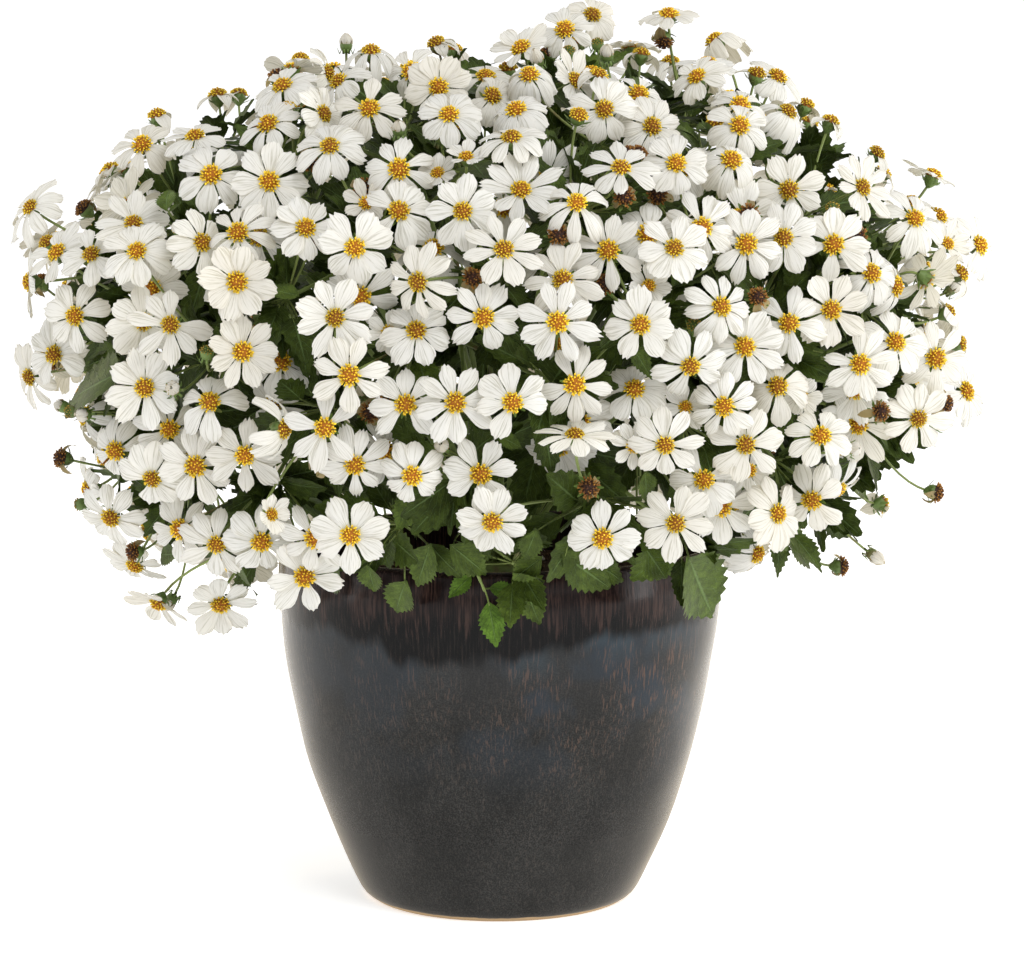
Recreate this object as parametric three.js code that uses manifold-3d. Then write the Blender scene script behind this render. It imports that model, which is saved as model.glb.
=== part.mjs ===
// A bushy bidens in full flower, growing in a dark glazed pot.
// Millimetres, +Z up. The origin is the middle of the pot's foot, and the viewer's side is -Y.

import * as THREE from 'three';
import { mergeVertices } from 'three/addons/utils/BufferGeometryUtils.js';
import Module from 'manifold-3d';

// Driving dimensions of the pot and its soil

const POT_HEIGHT = 232;
const FOOT_RADIUS = 83.5;
const WALL = 9.5;
const BASE_THICKNESS = 14;
const DRAIN_RADIUS = 12;
const POT_SIDES = 32;
const SIDE_STEPS = 10;
const LIP_STEPS = 4;
const SOIL_TOP = 206;
const SOIL_DOME = 3;
const SOIL_RINGS = [1, 0.6, 0.25, 0];
const GAP = 0.3;

// Outside of the pot from the foot to the shoulder under the lip, as [radius, height]
const POT_SIDE = [
  [FOOT_RADIUS, 0], [91, 7], [103, 33], [114, 60], [123, 87], [129.5, 113],
  [135.5, 140], [139.5, 166], [142, 190], [143, 208], [142.2, 220],
];

// Driving dimensions of the plant

const CROWN_RADIUS = 27;
const CROWN_HEIGHT = 11;
const CROWN_SHOULDER = [1, 0.6];
const CROWN_ROUNDING = 3;
const CROWN_SIDES = 12;
const STEM_RADIUS = 1.9;
const STEM_SIDES = 4;
const STEM_STEPS = 5;
const STEM_RING = 22;
const STEM_RISE = 48;
const STEM_SWEEP = 55;
const STEM_FOCUS = 295;
const SHOOTS = 24;
const SHOOT_REACH = 0.57;
const SHOOT_LOWEST = -0.46;
const COLLAR = 7;
const TWIGS = 92;
const TWIG_REACH = 0.79;
const TWIG_LOWEST = -0.72;
const FORK_RADIUS = 3.6;
const KNOT_RADIUS = 3.2;
const STALK_RADIUS = 1.15;
const KNEE = 26;
const FLOWER_RADIUS = 23;
const YOUNG_RADIUS = 13;
const DISC_RISE = 4;
const CUP_DEPTH = 5;
const CUP_RADIUS = 1.5 * STALK_RADIUS;
const SMALLEST_CUP = 0.4;
const SIDE_BIAS = 0.001;
const LEAF_LENGTH = 40;
const LEAF_WIDTH = 25;
const LEAF_WIDEST = 0.42;
const LEAF_SPREAD = [0.75, 1.1];
const LEAF_TILT = 0.8;
const LEAF_THICKNESS = 0.7;
const PETIOLE_RADIUS = 0.9;
const PETIOLE_LENGTH = [7, 19];

// The rounded mass of flowers: half widths, height above and below its middle, and squareness
const MOUND = { x: 300, y: 282, up: 187, down: 225, z: 370, power: 2.1 };

// Where the flowers are counted from: the viewer's eye
const EYE = { y: -2400, z: 589 };

// Heads of the viewer's side, where the sight line to them cuts the upright plane through the
// pot's axis: [x, z, turn, lift, behind]. A head turned and lifted by 0 degrees looks along -Y,
// turn swings it towards +X, lift tips it up, and behind is how far it sits back in the mass.
const FULL_HEADS = [
  [-299, 446, -50, 35, 0], [-282, 417, -45, 40, 0], [-300, 399, -85, 0, 0], [-227, 486, -15, 35, 0],
  [-244, 456, -140, 30, 24], [-241, 444, -5, 42, 0], [-239, 426, -8, 35, 0], [-260, 423, -25, 35, 8],
  [-193, 491, -20, 65, 14], [-183, 467, 0, 25, 0], [-215, 438, 0, 30, 22], [-198, 432, 35, 12, 10],
  [-173, 430, -10, 30, 0], [-214, 402, -10, 5, 6], [-175, 407, 5, 0, 0], [-162, 403, 15, 10, 18],
  [-255, 404, -12, 40, 4], [-271, 377, -20, 5, 0], [-236, 381, 15, 10, 18], [-218, 379, 0, 15, 0],
  [-192, 374, 10, -5, 6], [-285, 352, -25, 5, 0], [-301, 338, -50, -10, 12], [-227, 331, -5, 0, 0],
  [-164, 354, 12, 8, 0], [-177, 329, -5, 25, 0], [-204, 312, 15, 0, 14], [-246, 290, -20, -8, 8],
  [-231, 280, -8, -18, 0], [-202, 280, 0, -5, 0], [-155, 295, 0, 0, 8], [-146, 304, 62, 0, 0],
  [-178, 341, 0, 0, 26], [-250, 247, -20, -25, 0], [-228, 216, -30, -50, 0], [-205, 239, -15, -5, 10],
  [-190, 221, 0, -10, 0], [-220, 191, -40, -55, 0], [-180, 190, 5, -25, 0], [-161, 223, 10, -15, 10],
  [-132, 208, 0, -10, 0], [-118, 226, 0, -5, 16],
  [-81, 545, 0, 72, 0], [-137, 523, -30, 55, 0], [-131, 533, 170, 50, 22], [-109, 534, -55, 45, 6],
  [-102, 524, 78, 10, 30], [-112, 513, 55, 20, 14], [-89, 509, 0, 30, 0], [-63, 525, -15, 15, 14],
  [-38, 523, 0, 8, 0], [-31, 505, 0, 40, 0], [-52, 509, 75, 10, 18], [-12, 509, 20, 30, 12],
  [-8, 522, 0, 58, 4], [-115, 493, -5, 38, 0], [-138, 491, -30, 40, 10], [-139, 463, 0, 15, 0],
  [-154, 450, -10, 48, 4], [-63, 471, 0, 12, 0], [-63, 444, 5, 20, 8], [-22, 444, 0, 12, 0],
  [-153, 427, -5, 25, 4], [-130, 433, 10, 30, 8], [-91, 421, 0, 0, 0], [-58, 407, -30, -5, 8],
  [-34, 420, 0, 35, 0], [4, 419, 5, 32, 0], [-95, 390, 0, -12, 22], [-111, 376, 0, 5, 0],
  [-52, 367, 0, 30, 0], [-16, 376, 5, 0, 2], [-139, 354, -5, 25, 0], [-95, 339, -5, 0, 0],
  [-59, 327, 0, 5, 0], [-27, 328, 5, 5, 0], [-136, 328, -30, 0, 8], [-119, 297, -5, 0, 0],
  [-92, 288, 0, -12, 4], [-81, 298, 10, 5, 12], [-62, 274, 0, -5, 0], [-11, 282, 0, -5, 0],
  [-11, 252, -5, -20, 0], [-102, 235, 0, -5, 0],
  [42, 559, -10, 35, 0], [52, 568, 20, 40, 16], [108, 568, 0, 72, 0], [131, 552, -110, 50, 6],
  [141, 545, 10, 76, 0], [134, 529, -40, 40, 8], [154, 518, 5, 35, 0], [161, 498, 5, 30, 0],
  [20, 530, -10, 45, 0], [15, 540, -40, 50, 16], [4, 516, -20, 50, 10], [9, 497, -10, 62, 6],
  [40, 519, 48, 25, 10], [51, 523, 0, 76, 20], [68, 509, 0, 12, 0], [89, 518, 20, 35, 12],
  [91, 498, 15, 15, 16], [79, 471, 0, 48, 0], [106, 466, 0, 30, 0], [127, 469, -15, 50, 8],
  [141, 468, 10, 35, 0], [24, 475, 0, -25, 4], [7, 465, 0, 40, 18], [51, 449, 0, 30, 0],
  [32, 452, -10, 72, 12], [3, 446, 30, 10, 14], [71, 426, -5, 15, 0], [88, 421, 0, 22, 8],
  [106, 420, 10, 28, 4], [124, 434, 0, 5, 0], [149, 448, 0, 20, 8], [152, 423, 5, 8, 0],
  [42, 407, 0, 15, 0], [25, 414, -10, 68, 12], [1, 402, 165, 30, 18], [31, 381, 0, 5, 0],
  [84, 379, -5, 22, 0], [108, 376, 0, 12, 2], [136, 383, 20, 10, 0], [29, 353, 0, -10, 12],
  [58, 341, 0, 0, 0], [116, 353, 5, -15, 10], [152, 357, 0, 12, 0], [88, 329, 0, 38, 0],
  [10, 321, 0, 5, 0], [54, 316, -15, -12, 12], [58, 307, 0, 72, 4], [139, 319, -5, -5, 8],
  [152, 302, 0, 0, 10], [40, 293, -10, -20, 8], [65, 294, 0, 0, 0], [108, 294, 0, -10, 0],
  [141, 279, 0, 10, 0], [24, 268, 0, 0, 0], [136, 262, 5, 0, 8], [68, 233, 0, -5, 0],
  [123, 235, 0, -5, 0],
  [170, 529, 40, 50, 0], [184, 507, 50, 45, 0], [178, 466, 0, 0, 2], [232, 459, 40, 20, 0],
  [277, 466, 100, 66, 0], [266, 439, 20, 30, 0], [175, 435, 0, 12, 2], [207, 415, 0, 5, 0],
  [214, 388, 5, 5, 6], [178, 406, 10, -10, 10], [232, 404, 20, 20, 14], [246, 404, 62, 0, 4],
  [307, 422, 55, 20, 0], [267, 401, 130, -35, 10], [194, 372, -5, 15, 0], [255, 367, 15, 22, 4],
  [225, 354, 0, 5, 0], [281, 350, 12, 0, 0], [230, 337, 0, -10, 8], [258, 338, 10, 5, 4],
  [293, 328, 50, 20, 0], [173, 331, 0, 22, 0], [270, 311, 20, -5, 0], [216, 307, 0, 28, 0],
  [232, 314, 0, -5, 12], [172, 257, 40, 5, 6], [195, 266, -10, -10, 0], [210, 274, 30, -50, 6],
];
const YOUNG_HEADS = [
  [-198, 298, 0, 20, 4], [-155, 240, 45, 15, 4], [-104, 481, 10, 25, 0], [-20, 485, 0, 60, 6],
  [-38, 475, -20, 40, 16], [-77, 449, 0, 20, 16], [-77, 366, 0, 10, 16], [121, 520, 0, 68, 4],
  [13, 507, 0, 12, 4], [90, 396, 0, 20, 4], [114, 318, 0, 10, 4], [88, 293, 0, 5, 6],
  [155, 277, 10, 10, 12], [161, 264, 0, -10, 4], [279, 415, 30, 30, 0], [195, 325, 0, 10, 4],
];

// Leaves of the viewer's side, from leaf foot to tip on the same plane: [x, z, x, z, behind]
const SEEN_LEAVES = [
  [-44, 228, -52, 202, 42], [-30, 228, -6, 208, 40], [-78, 240, -70, 213, 50], [-84, 215, -80, 197, 46],
  [-60, 204, -68, 182, 44], [25, 238, 17, 218, 40], [28, 220, 9, 205, 44], [42, 222, 73, 200, 38],
  [124, 219, 138, 182, 24], [150, 229, 182, 194, 16], [-167, 214, -159, 193, 30], [95, 276, 98, 255, 10],
  [-218, 222, -206, 222, 24], [-243, 277, -246, 260, 6], [-244, 340, -280, 325, 4],
  [-246, 352, -268, 345, 10], [-247, 326, -254, 312, 10], [255, 393, 231, 371, 4],
  [220, 277, 229, 258, 6], [175, 245, 187, 225, 10], [185, 248, 199, 258, 14], [204, 312, 172, 290, 12],
  [180, 320, 184, 294, 16], [210, 354, 190, 340, 14], [172, 372, 158, 366, 16],
  [-212, 445, -212, 461, 10], [-211, 443, -204, 450, 10], [88, 520, 96, 530, 6],
  [110, 498, 130, 492, 12], [127, 496, 146, 500, 12], [-85, 385, -64, 395, 24], [86, 358, 100, 336, 22],
  [-77, 248, -64, 222, 56], [36, 470, 36, 448, 18], [-128, 390, -150, 396, 20],
  [-22, 264, -38, 240, 56], [4, 256, 18, 230, 52], [-52, 262, -66, 238, 60], [42, 264, 60, 240, 50],
  [-6, 236, -22, 214, 48], [62, 218, 82, 204, 46], [94, 228, 110, 206, 44], [-104, 216, -114, 196, 40],
  [-140, 262, -124, 244, 40], [150, 250, 134, 232, 36], [-60, 310, -40, 300, 40], [0, 300, 16, 292, 36],
];

// The shoot tip that trails over the lip at the front: its knots as [x, z] on the same plane and
// their real y, with the leaves that each one carries
const TRAIL = [
  { knot: [-20, 238, -170], leaves: [] },
  { knot: [-15, 213, -164], leaves: [[-18, 208, -32, 194]] },
  { knot: [-9, 199, -160], leaves: [[-5, 200, 13, 198], [-6, 190, -1, 161]] },
];
const TRAIL_LIFT = 6;
const TRAIL_FACING = [0, -1, 0.5];

// Outline of the whole mass on the same plane, as [x, z], which the flowers that fill it keep within
const OUTLINE = [
  [-318, 330], [-318, 385], [-303, 450], [-262, 460], [-245, 490], [-180, 492], [-160, 517], [-120, 538],
  [-78, 552], [-37, 545], [-10, 534], [20, 556], [65, 573], [106, 574], [150, 547], [188, 516],
  [207, 468], [250, 461], [291, 459], [311, 435], [316, 400], [300, 313], [250, 296], [209, 255],
  [188, 224], [150, 186], [-180, 174], [-242, 196], [-262, 237], [-283, 312],
];

// How the rest of the mass is filled

const LATTICE = 460;
const GOLDEN_ANGLE = Math.PI * (3 - Math.sqrt(5));
const FILL_SPACING = 38;
const FILL_FRONT = 0.22;
const FILL_LOWEST = 186;
const FILL_BACK = 296;
const FILL_POT_CLEAR = 168;
const FILL_TILT = 0.5;
const FILL_LIFT = 0.35;
const SHIFTS = [0, 7, -7, 14, -13, 21, 28, 36, 44, 52, 60];
const NUDGES = [[0, 0], [7, 0], [-7, 0], [0, 7], [0, -7], [8, 8], [-8, -8], [8, -8], [-8, 8]];
const NEIGHBOURHOOD = 120;
const STALK_SAMPLES = 24;
const STEM_SAMPLES = 30;
const RIM_SAMPLES = 20;
const RIM_INNER = 0.55;
const HEAD_CLEARANCE = 6.2;
const RIM_CLEARANCE = 3;
const STALK_CLEARANCE = 4.3;
const LEAF_CLEARANCE = 4.4;
const KIN_CLEARANCE = 5;
const POT_CLEARANCE = 6;
const POT_REACH = 143;
const KIN_LEAF_CLEARANCE = 2.6;
const LEAF_MARGIN = 0.1;
const CELL_MARGIN = 5;
const FORK_LEAVES = 8;
const TWIG_LEAVES = 5;
const TWIG_CHOICES = 3;
const MOST_BORNE = 10;
const FORK_LEAF_KEY = 1000;
const TWIG_LEAF_KEY = 2000;
const SIGHT_STEP = 4;

// Where a leaf is tested for room: how far along it and how far out to its side
const LEAF_PLACES = [
  [0, 0], [0.25, 0.3], [0.25, -0.3], [0.5, 0.5], [0.5, -0.5], [0.75, 0.3], [0.75, -0.3], [1, 0], [0.5, 0],
];
const PETIOLE_PLACES = [0.2, 0.4, 0.6, 0.8];

const wasm = await Module();
wasm.setup();

// Numbers from 0 to 1, or from -1 to 1, that depend only on their two counters

function chance(index, channel) {
  let h = Math.imul(index * 2 + 1, 0x9e3779b1) ^ Math.imul(channel + 1, 0x85ebca6b);
  h = Math.imul(h ^ (h >>> 15), 0x2c1b3c6d);
  h = Math.imul(h ^ (h >>> 12), 0x297a2d39);
  return ((h ^ (h >>> 15)) >>> 0) / 2 ** 32;
}

function spread(index, channel) {
  return 2 * chance(index, channel) - 1;
}

// The mound of flowers

function moundLevel(p) {
  const dx = Math.abs(p.x) / MOUND.x;
  const dy = Math.abs(p.y) / MOUND.y;
  const dz = Math.abs(p.z - MOUND.z) / (p.z > MOUND.z ? MOUND.up : MOUND.down);
  return (dx ** MOUND.power + dy ** MOUND.power + dz ** MOUND.power) ** (1 / MOUND.power);
}

function moundPoint(direction, reach) {
  const tall = direction.z > 0 ? MOUND.up : MOUND.down;
  const p = new THREE.Vector3(direction.x * MOUND.x, direction.y * MOUND.y, direction.z * tall + MOUND.z);
  return new THREE.Vector3(0, 0, MOUND.z).lerp(p, reach / moundLevel(p));
}

function moundNormal(p) {
  const tall = p.z > MOUND.z ? MOUND.up : MOUND.down;
  return new THREE.Vector3(p.x / MOUND.x ** 2, p.y / MOUND.y ** 2, (p.z - MOUND.z) / tall ** 2).normalize();
}

// A point at depth y on the sight line through (x, z) of the upright plane
function onSightLine(x, z, y) {
  const k = 1 - y / EYE.y;
  return new THREE.Vector3(x * k, y, EYE.z + (z - EYE.z) * k);
}

function insideOutline(p) {
  const k = 1 - p.y / EYE.y;
  const x = p.x / k;
  const z = EYE.z + (p.z - EYE.z) / k;
  let crossings = 0;
  OUTLINE.forEach(([ax, az], i) => {
    const [bx, bz] = OUTLINE[(i + 1) % OUTLINE.length];
    if ((az > z) !== (bz > z) && x < ax + (bx - ax) * (z - az) / (bz - az)) {
      crossings += 1;
    }
  });
  return crossings % 2 === 1;
}

// The first point of that sight line in the mound, or else its nearest one to the mound
function seenPoint(x, z, behind) {
  let best = -MOUND.y;
  let bestLevel = Infinity;
  for (let y = -MOUND.y; y <= 0 && bestLevel > 1; y += SIGHT_STEP) {
    const level = moundLevel(onSightLine(x, z, y));
    if (level < bestLevel) {
      best = y;
      bestLevel = level;
    }
  }
  return onSightLine(x, z, best + behind);
}

function facing(turn, lift) {
  const t = THREE.MathUtils.degToRad(turn);
  const l = THREE.MathUtils.degToRad(lift);
  return new THREE.Vector3(Math.sin(t) * Math.cos(l), -Math.cos(t) * Math.cos(l), Math.sin(l));
}

// Even directions over a ball, from its top down to a lowest height
function latticeDirection(index, count, lowest) {
  const z = 1 - (1 - lowest) * (index + 0.5) / count;
  const r = Math.sqrt(1 - z * z);
  return new THREE.Vector3(r * Math.cos(index * GOLDEN_ANGLE), r * Math.sin(index * GOLDEN_ANGLE), z);
}

// Shoots: each forks inside the mound, at the end of a main stem that rises from the crown

const crownFoot = SOIL_TOP + SOIL_DOME + GAP;
const shoots = [];
for (let i = 0; i < SHOOTS; i += 1) {
  const direction = latticeDirection(i, SHOOTS, SHOOT_LOWEST);
  const fork = moundPoint(direction, SHOOT_REACH);
  const along = fork.clone().sub(new THREE.Vector3(0, 0, STEM_FOCUS)).normalize();
  const flat = new THREE.Vector3(direction.x, direction.y, 0);
  const root = flat.setLength(STEM_RING * Math.sqrt((1 - direction.z) / (1 - SHOOT_LOWEST)));
  root.z = crownFoot + CROWN_HEIGHT + GAP;
  const end = fork.clone().addScaledVector(along, -COLLAR - GAP);
  const rise = root.clone().add(new THREE.Vector3(0, 0, STEM_RISE));
  const sweep = end.clone().addScaledVector(along, -STEM_SWEEP);
  const stem = new THREE.CubicBezierCurve3(root, rise, sweep, end);
  shoots.push({ place: fork, along, stem, twigs: [], heads: [], leaves: [] });
}
const stemPoints = shoots.flatMap((shoot) => shoot.stem.getPoints(STEM_SAMPLES));

function nearest(list, p) {
  return list.reduce((best, item) => (item.place.distanceTo(p) < best.place.distanceTo(p) ? item : best));
}

// Twigs leave a fork and end in a knot, from which the flower stalks spread
const twigs = [];
for (let i = 0; i < TWIGS; i += 1) {
  const place = moundPoint(latticeDirection(i, TWIGS, TWIG_LOWEST), TWIG_REACH);
  const shoot = nearest(shoots, place);
  const twig = { place, shoot, twigs: [], heads: [], leaves: [] };
  shoot.twigs.push(twig);
  twigs.push(twig);
}

// A flower head with its stalk, and the points by which neighbours are kept apart

function makeHead(centre, normal, radius, knee, twig) {
  const curve = new THREE.QuadraticBezierCurve3(twig.place, knee, centre);
  const stalk = [];
  for (let i = 1; i <= STALK_SAMPLES; i += 1) {
    stalk.push(curve.getPoint(i / (STALK_SAMPLES + 1)));
  }
  const side = new THREE.Vector3(normal.y, -normal.x, SIDE_BIAS).normalize();
  const other = normal.clone().cross(side).normalize();
  const rim = [centre.clone()];
  for (let i = 0; i < RIM_SAMPLES; i += 1) {
    const angle = 2 * Math.PI * i / RIM_SAMPLES;
    const edge = centre.clone().addScaledVector(side, radius * Math.cos(angle));
    edge.addScaledVector(other, radius * Math.sin(angle));
    rim.push(edge, centre.clone().lerp(edge, RIM_INNER));
  }
  return { centre, normal, radius, twig, shoot: twig.shoot, curve, stalk, rim };
}

// The same head on each of the twigs that its stalk could come from
function headChoices(centre, normal, radius) {
  const knee = centre.clone().addScaledVector(normal, -KNEE);
  const ranked = [...twigs].sort((a, b) => a.place.distanceTo(knee) - b.place.distanceTo(knee));
  return ranked.slice(0, TWIG_CHOICES).map((twig) => makeHead(centre, normal, radius, knee, twig));
}

function insideHead(points, head, height) {
  return points.some((p) => {
    const offset = p.clone().sub(head.centre);
    const above = offset.dot(head.normal);
    const out = Math.sqrt(Math.max(0, offset.lengthSq() - above * above));
    return Math.abs(above) < height && out < head.radius + RIM_CLEARANCE;
  });
}

function stalksMeet(a, b) {
  return a.stalk.some((p) => b.stalk.some((q) => p.distanceTo(q) < STALK_CLEARANCE));
}

function headsMeet(a, b) {
  if (a.centre.distanceTo(b.centre) > NEIGHBOURHOOD) {
    return false;
  }
  if (insideHead(a.rim, b, HEAD_CLEARANCE) || insideHead(b.rim, a, HEAD_CLEARANCE)) {
    return true;
  }
  const height = a.shoot === b.shoot ? KIN_CLEARANCE : HEAD_CLEARANCE;
  return insideHead(a.stalk, b, height) || insideHead(b.stalk, a, height)
    || a.twig !== b.twig && stalksMeet(a, b);
}

const heads = [];

// Keeps the first of several places for one head that no other head is in the way of
function place(candidates) {
  const free = candidates.find((head) => !heads.some((other) => headsMeet(head, other)));
  if (free) {
    heads.push(free);
    free.twig.heads.push(free);
  }
}

for (const [rows, radius] of [[FULL_HEADS, FLOWER_RADIUS], [YOUNG_HEADS, YOUNG_RADIUS]]) {
  for (const [x, z, turn, lift, behind] of rows) {
    place(SHIFTS.flatMap((shift) => NUDGES.flatMap(([dx, dz]) => {
      const centre = seenPoint(x + dx, z + dz, behind + shift);
      return headChoices(centre, facing(turn, lift), radius);
    })));
  }
}

const towardsEye = new THREE.Vector3(0, EYE.y, EYE.z - MOUND.z).normalize();
for (let i = 0; i < LATTICE; i += 1) {
  const surface = moundPoint(latticeDirection(i, LATTICE, -1), 1);
  const outward = moundNormal(surface);
  const overPot = Math.hypot(surface.x, surface.y) < FILL_POT_CLEAR && surface.z < MOUND.z;
  const crowded = heads.some((head) => head.centre.distanceTo(surface) < FILL_SPACING);
  if (outward.dot(towardsEye) < FILL_FRONT && surface.z > FILL_LOWEST && !overPot && !crowded) {
    const lean = new THREE.Vector3(spread(i, 0), spread(i, 1), spread(i, 2)).multiplyScalar(FILL_TILT);
    const normal = outward.clone().add(lean).add(new THREE.Vector3(0, 0, FILL_LIFT)).normalize();
    place(SHIFTS.flatMap((shift) => {
      const centre = surface.clone().addScaledVector(outward, -shift);
      return headChoices(centre, normal, FLOWER_RADIUS);
    }).filter((head) => head.rim.every((p) => insideOutline(p) && p.y < FILL_BACK)));
  }
}

// A leaf blade with its petiole, kept clear of the flowers and of other shoots

function makeLeaf(joint, foot, tip, up) {
  const along = tip.clone().sub(foot);
  const length = along.length();
  along.normalize();
  const across = up.clone().cross(along).normalize();
  const face = along.clone().cross(across);
  const width = length * LEAF_WIDTH / LEAF_LENGTH;
  const leaf = { joint, shoot: joint.shoot || joint, foot, along, across, face, length, width };
  leaf.points = LEAF_PLACES.map(([s, v]) => foot.clone()
    .addScaledVector(along, s * length).addScaledVector(across, v * width));
  leaf.petiole = PETIOLE_PLACES.map((s) => joint.place.clone().lerp(foot, s));
  return leaf;
}

function insideLeaf(points, leaf, clearance) {
  return points.some((p) => {
    const offset = p.clone().sub(leaf.foot);
    const s = offset.dot(leaf.along) / leaf.length;
    const v = Math.abs(offset.dot(leaf.across)) / leaf.width;
    return s > -LEAF_MARGIN && s < 1 + LEAF_MARGIN && v < 0.5 + LEAF_MARGIN
      && Math.abs(offset.dot(leaf.face)) < clearance;
  });
}

function leafFree(leaf) {
  const blocked = heads.some((head) => {
    if (head.centre.distanceTo(leaf.foot) > NEIGHBOURHOOD) {
      return false;
    }
    const apart = head.shoot === leaf.shoot ? KIN_LEAF_CLEARANCE : LEAF_CLEARANCE;
    return insideHead(leaf.points, head, LEAF_CLEARANCE) || insideHead(leaf.petiole, head, apart)
      || insideLeaf(head.rim, leaf, LEAF_CLEARANCE) || insideLeaf(head.stalk, leaf, apart);
  });
  const crossed = leaves.some((other) => {
    const apart = other.shoot === leaf.shoot ? KIN_LEAF_CLEARANCE : LEAF_CLEARANCE;
    return insideLeaf(other.points, leaf, apart) || insideLeaf(leaf.points, other, apart);
  });
  const stopped = insideLeaf(stemPoints, leaf, STEM_RADIUS + LEAF_CLEARANCE)
    || leaf.points.some((p) => p.z < POT_HEIGHT + POT_CLEARANCE
      && Math.hypot(p.x, p.y) < POT_REACH + POT_CLEARANCE);
  return !blocked && !crossed && !stopped;
}

const leaves = [];

function keepLeaf(leaf) {
  leaves.push(leaf);
  leaf.joint.leaves.push(leaf);
}

function leafAtHome(leaf) {
  return leaf.points.every((p) => shoots.every((shoot) => shoot === leaf.shoot
    || shoot.place.distanceTo(p) > leaf.shoot.place.distanceTo(p) + CELL_MARGIN));
}

for (const [footX, footZ, tipX, tipZ, behind] of SEEN_LEAVES) {
  const free = SHIFTS.map((shift) => {
    const foot = seenPoint(footX, footZ, behind + shift);
    const tip = seenPoint(tipX, tipZ, behind + shift);
    const twig = nearest(twigs, foot);
    return makeLeaf(twig, foot, tip, moundNormal(foot).add(new THREE.Vector3(0, 0, LEAF_TILT)));
  }).find(leafFree);
  if (free) {
    keepLeaf(free);
  }
}

// The trailing shoot tip is a chain of knots that leaves the nearest twig

const trailUp = new THREE.Vector3(...TRAIL_FACING);
let trailEnd = nearest(twigs, onSightLine(...TRAIL[0].knot));
for (const { knot, leaves: rows } of TRAIL) {
  const place = onSightLine(...knot);
  const next = { place, shoot: trailEnd.shoot, twigs: [], heads: [], leaves: [] };
  trailEnd.twigs.push(next);
  trailEnd = next;
  for (const [footX, footZ, tipX, tipZ] of rows) {
    const foot = onSightLine(footX, footZ, place.y);
    keepLeaf(makeLeaf(next, foot, onSightLine(tipX, tipZ, place.y - TRAIL_LIFT), trailUp));
  }
}

// Tries a leaf that starts at a joint of the shoot and points outwards, more or less
function growLeaf(joint, outward, key) {
  const way = new THREE.Vector3(spread(key, 0), spread(key, 1), spread(key, 2)).add(outward).normalize();
  const petiole = THREE.MathUtils.lerp(...PETIOLE_LENGTH, chance(key, 3));
  const foot = joint.place.clone().addScaledVector(way, petiole);
  const length = LEAF_LENGTH * THREE.MathUtils.lerp(...LEAF_SPREAD, chance(key, 4));
  const tip = foot.clone().addScaledVector(way, length);
  const leaf = makeLeaf(joint, foot, tip, new THREE.Vector3(0, 0, 1).add(outward));
  const borne = joint.twigs.length + joint.leaves.length + joint.heads.length;
  if (borne < MOST_BORNE && leafAtHome(leaf) && leafFree(leaf)) {
    keepLeaf(leaf);
  }
}

shoots.forEach((shoot, index) => {
  for (let i = 0; i < FORK_LEAVES; i += 1) {
    growLeaf(shoot, shoot.along, FORK_LEAF_KEY + index * FORK_LEAVES + i);
  }
});
twigs.forEach((twig, index) => {
  for (let i = 0; i < TWIG_LEAVES; i += 1) {
    growLeaf(twig, moundNormal(twig.place), TWIG_LEAF_KEY + index * TWIG_LEAVES + i);
  }
});

// Solids

const MERGE_DISTANCE = 1e-4;

function toSolid(geometry) {
  geometry.deleteAttribute('normal');
  geometry.deleteAttribute('uv');
  const merged = mergeVertices(geometry, MERGE_DISTANCE);
  const vertProperties = new Float32Array(merged.attributes.position.array);
  const triVerts = new Uint32Array(merged.index.array);
  return new wasm.Manifold(new wasm.Mesh({ numProp: 3, vertProperties, triVerts }));
}

function toGeometry(solid) {
  const mesh = solid.getMesh();
  const geometry = new THREE.BufferGeometry();
  geometry.setAttribute('position', new THREE.BufferAttribute(mesh.vertProperties, 3));
  geometry.setIndex(new THREE.BufferAttribute(mesh.triVerts, 1));
  geometry.computeVertexNormals();
  return geometry;
}

function regularShape(sides, radius) {
  const shape = new THREE.Shape();
  for (let i = 0; i < sides; i += 1) {
    const angle = 2 * Math.PI * i / sides;
    shape.lineTo(radius * Math.cos(angle), radius * Math.sin(angle));
  }
  return shape;
}

function tube(curve, radius, sides, steps) {
  const options = { steps, bevelEnabled: false, extrudePath: curve };
  return new THREE.ExtrudeGeometry(regularShape(sides, radius), options);
}

// Points around p at the given angles in degrees, in the plane of u and v
function ring(p, u, v, radius, angles) {
  return angles.map((angle) => {
    const a = THREE.MathUtils.degToRad(angle);
    return p.clone().addScaledVector(u, radius * Math.cos(a)).addScaledVector(v, radius * Math.sin(a));
  });
}

// The same ring, starting at the point that lies best over the target's first point
function aligned(points, target) {
  const at = (i) => points[i % points.length];
  const gap = (shift) => target.reduce((sum, p, i) => sum + p.distanceTo(at(i + shift)), 0);
  const shifts = points.map((_, i) => i).sort((a, b) => gap(a) - gap(b));
  return points.map((_, i) => at(i + shifts[0]));
}

// A closed skin over rings of points, each as long as the one before or twice as long, up to a
// tip, or to a flat end where there is none
function skin(rings, tip) {
  const corners = [];
  const [first, last] = [rings[0], rings[rings.length - 1]];
  for (let i = 1; i + 1 < first.length; i += 1) {
    corners.push(first[0], first[i + 1], first[i]);
  }
  for (let k = 0; k + 1 < rings.length; k += 1) {
    const [low, high] = [rings[k], rings[k + 1]];
    const share = high.length / low.length;
    low.forEach((p, i) => {
      const q = low[(i + 1) % low.length];
      const middle = high[(share * i + 1) % high.length];
      corners.push(p, q, middle, p, middle, high[share * i]);
      if (share === 2) {
        corners.push(q, high[(2 * i + 2) % high.length], middle);
      }
    });
  }
  if (tip) {
    last.forEach((p, i) => corners.push(p, last[(i + 1) % last.length], tip));
  } else {
    corners.push(...last);
  }
  return toSolid(new THREE.BufferGeometry().setFromPoints(corners));
}

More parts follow.
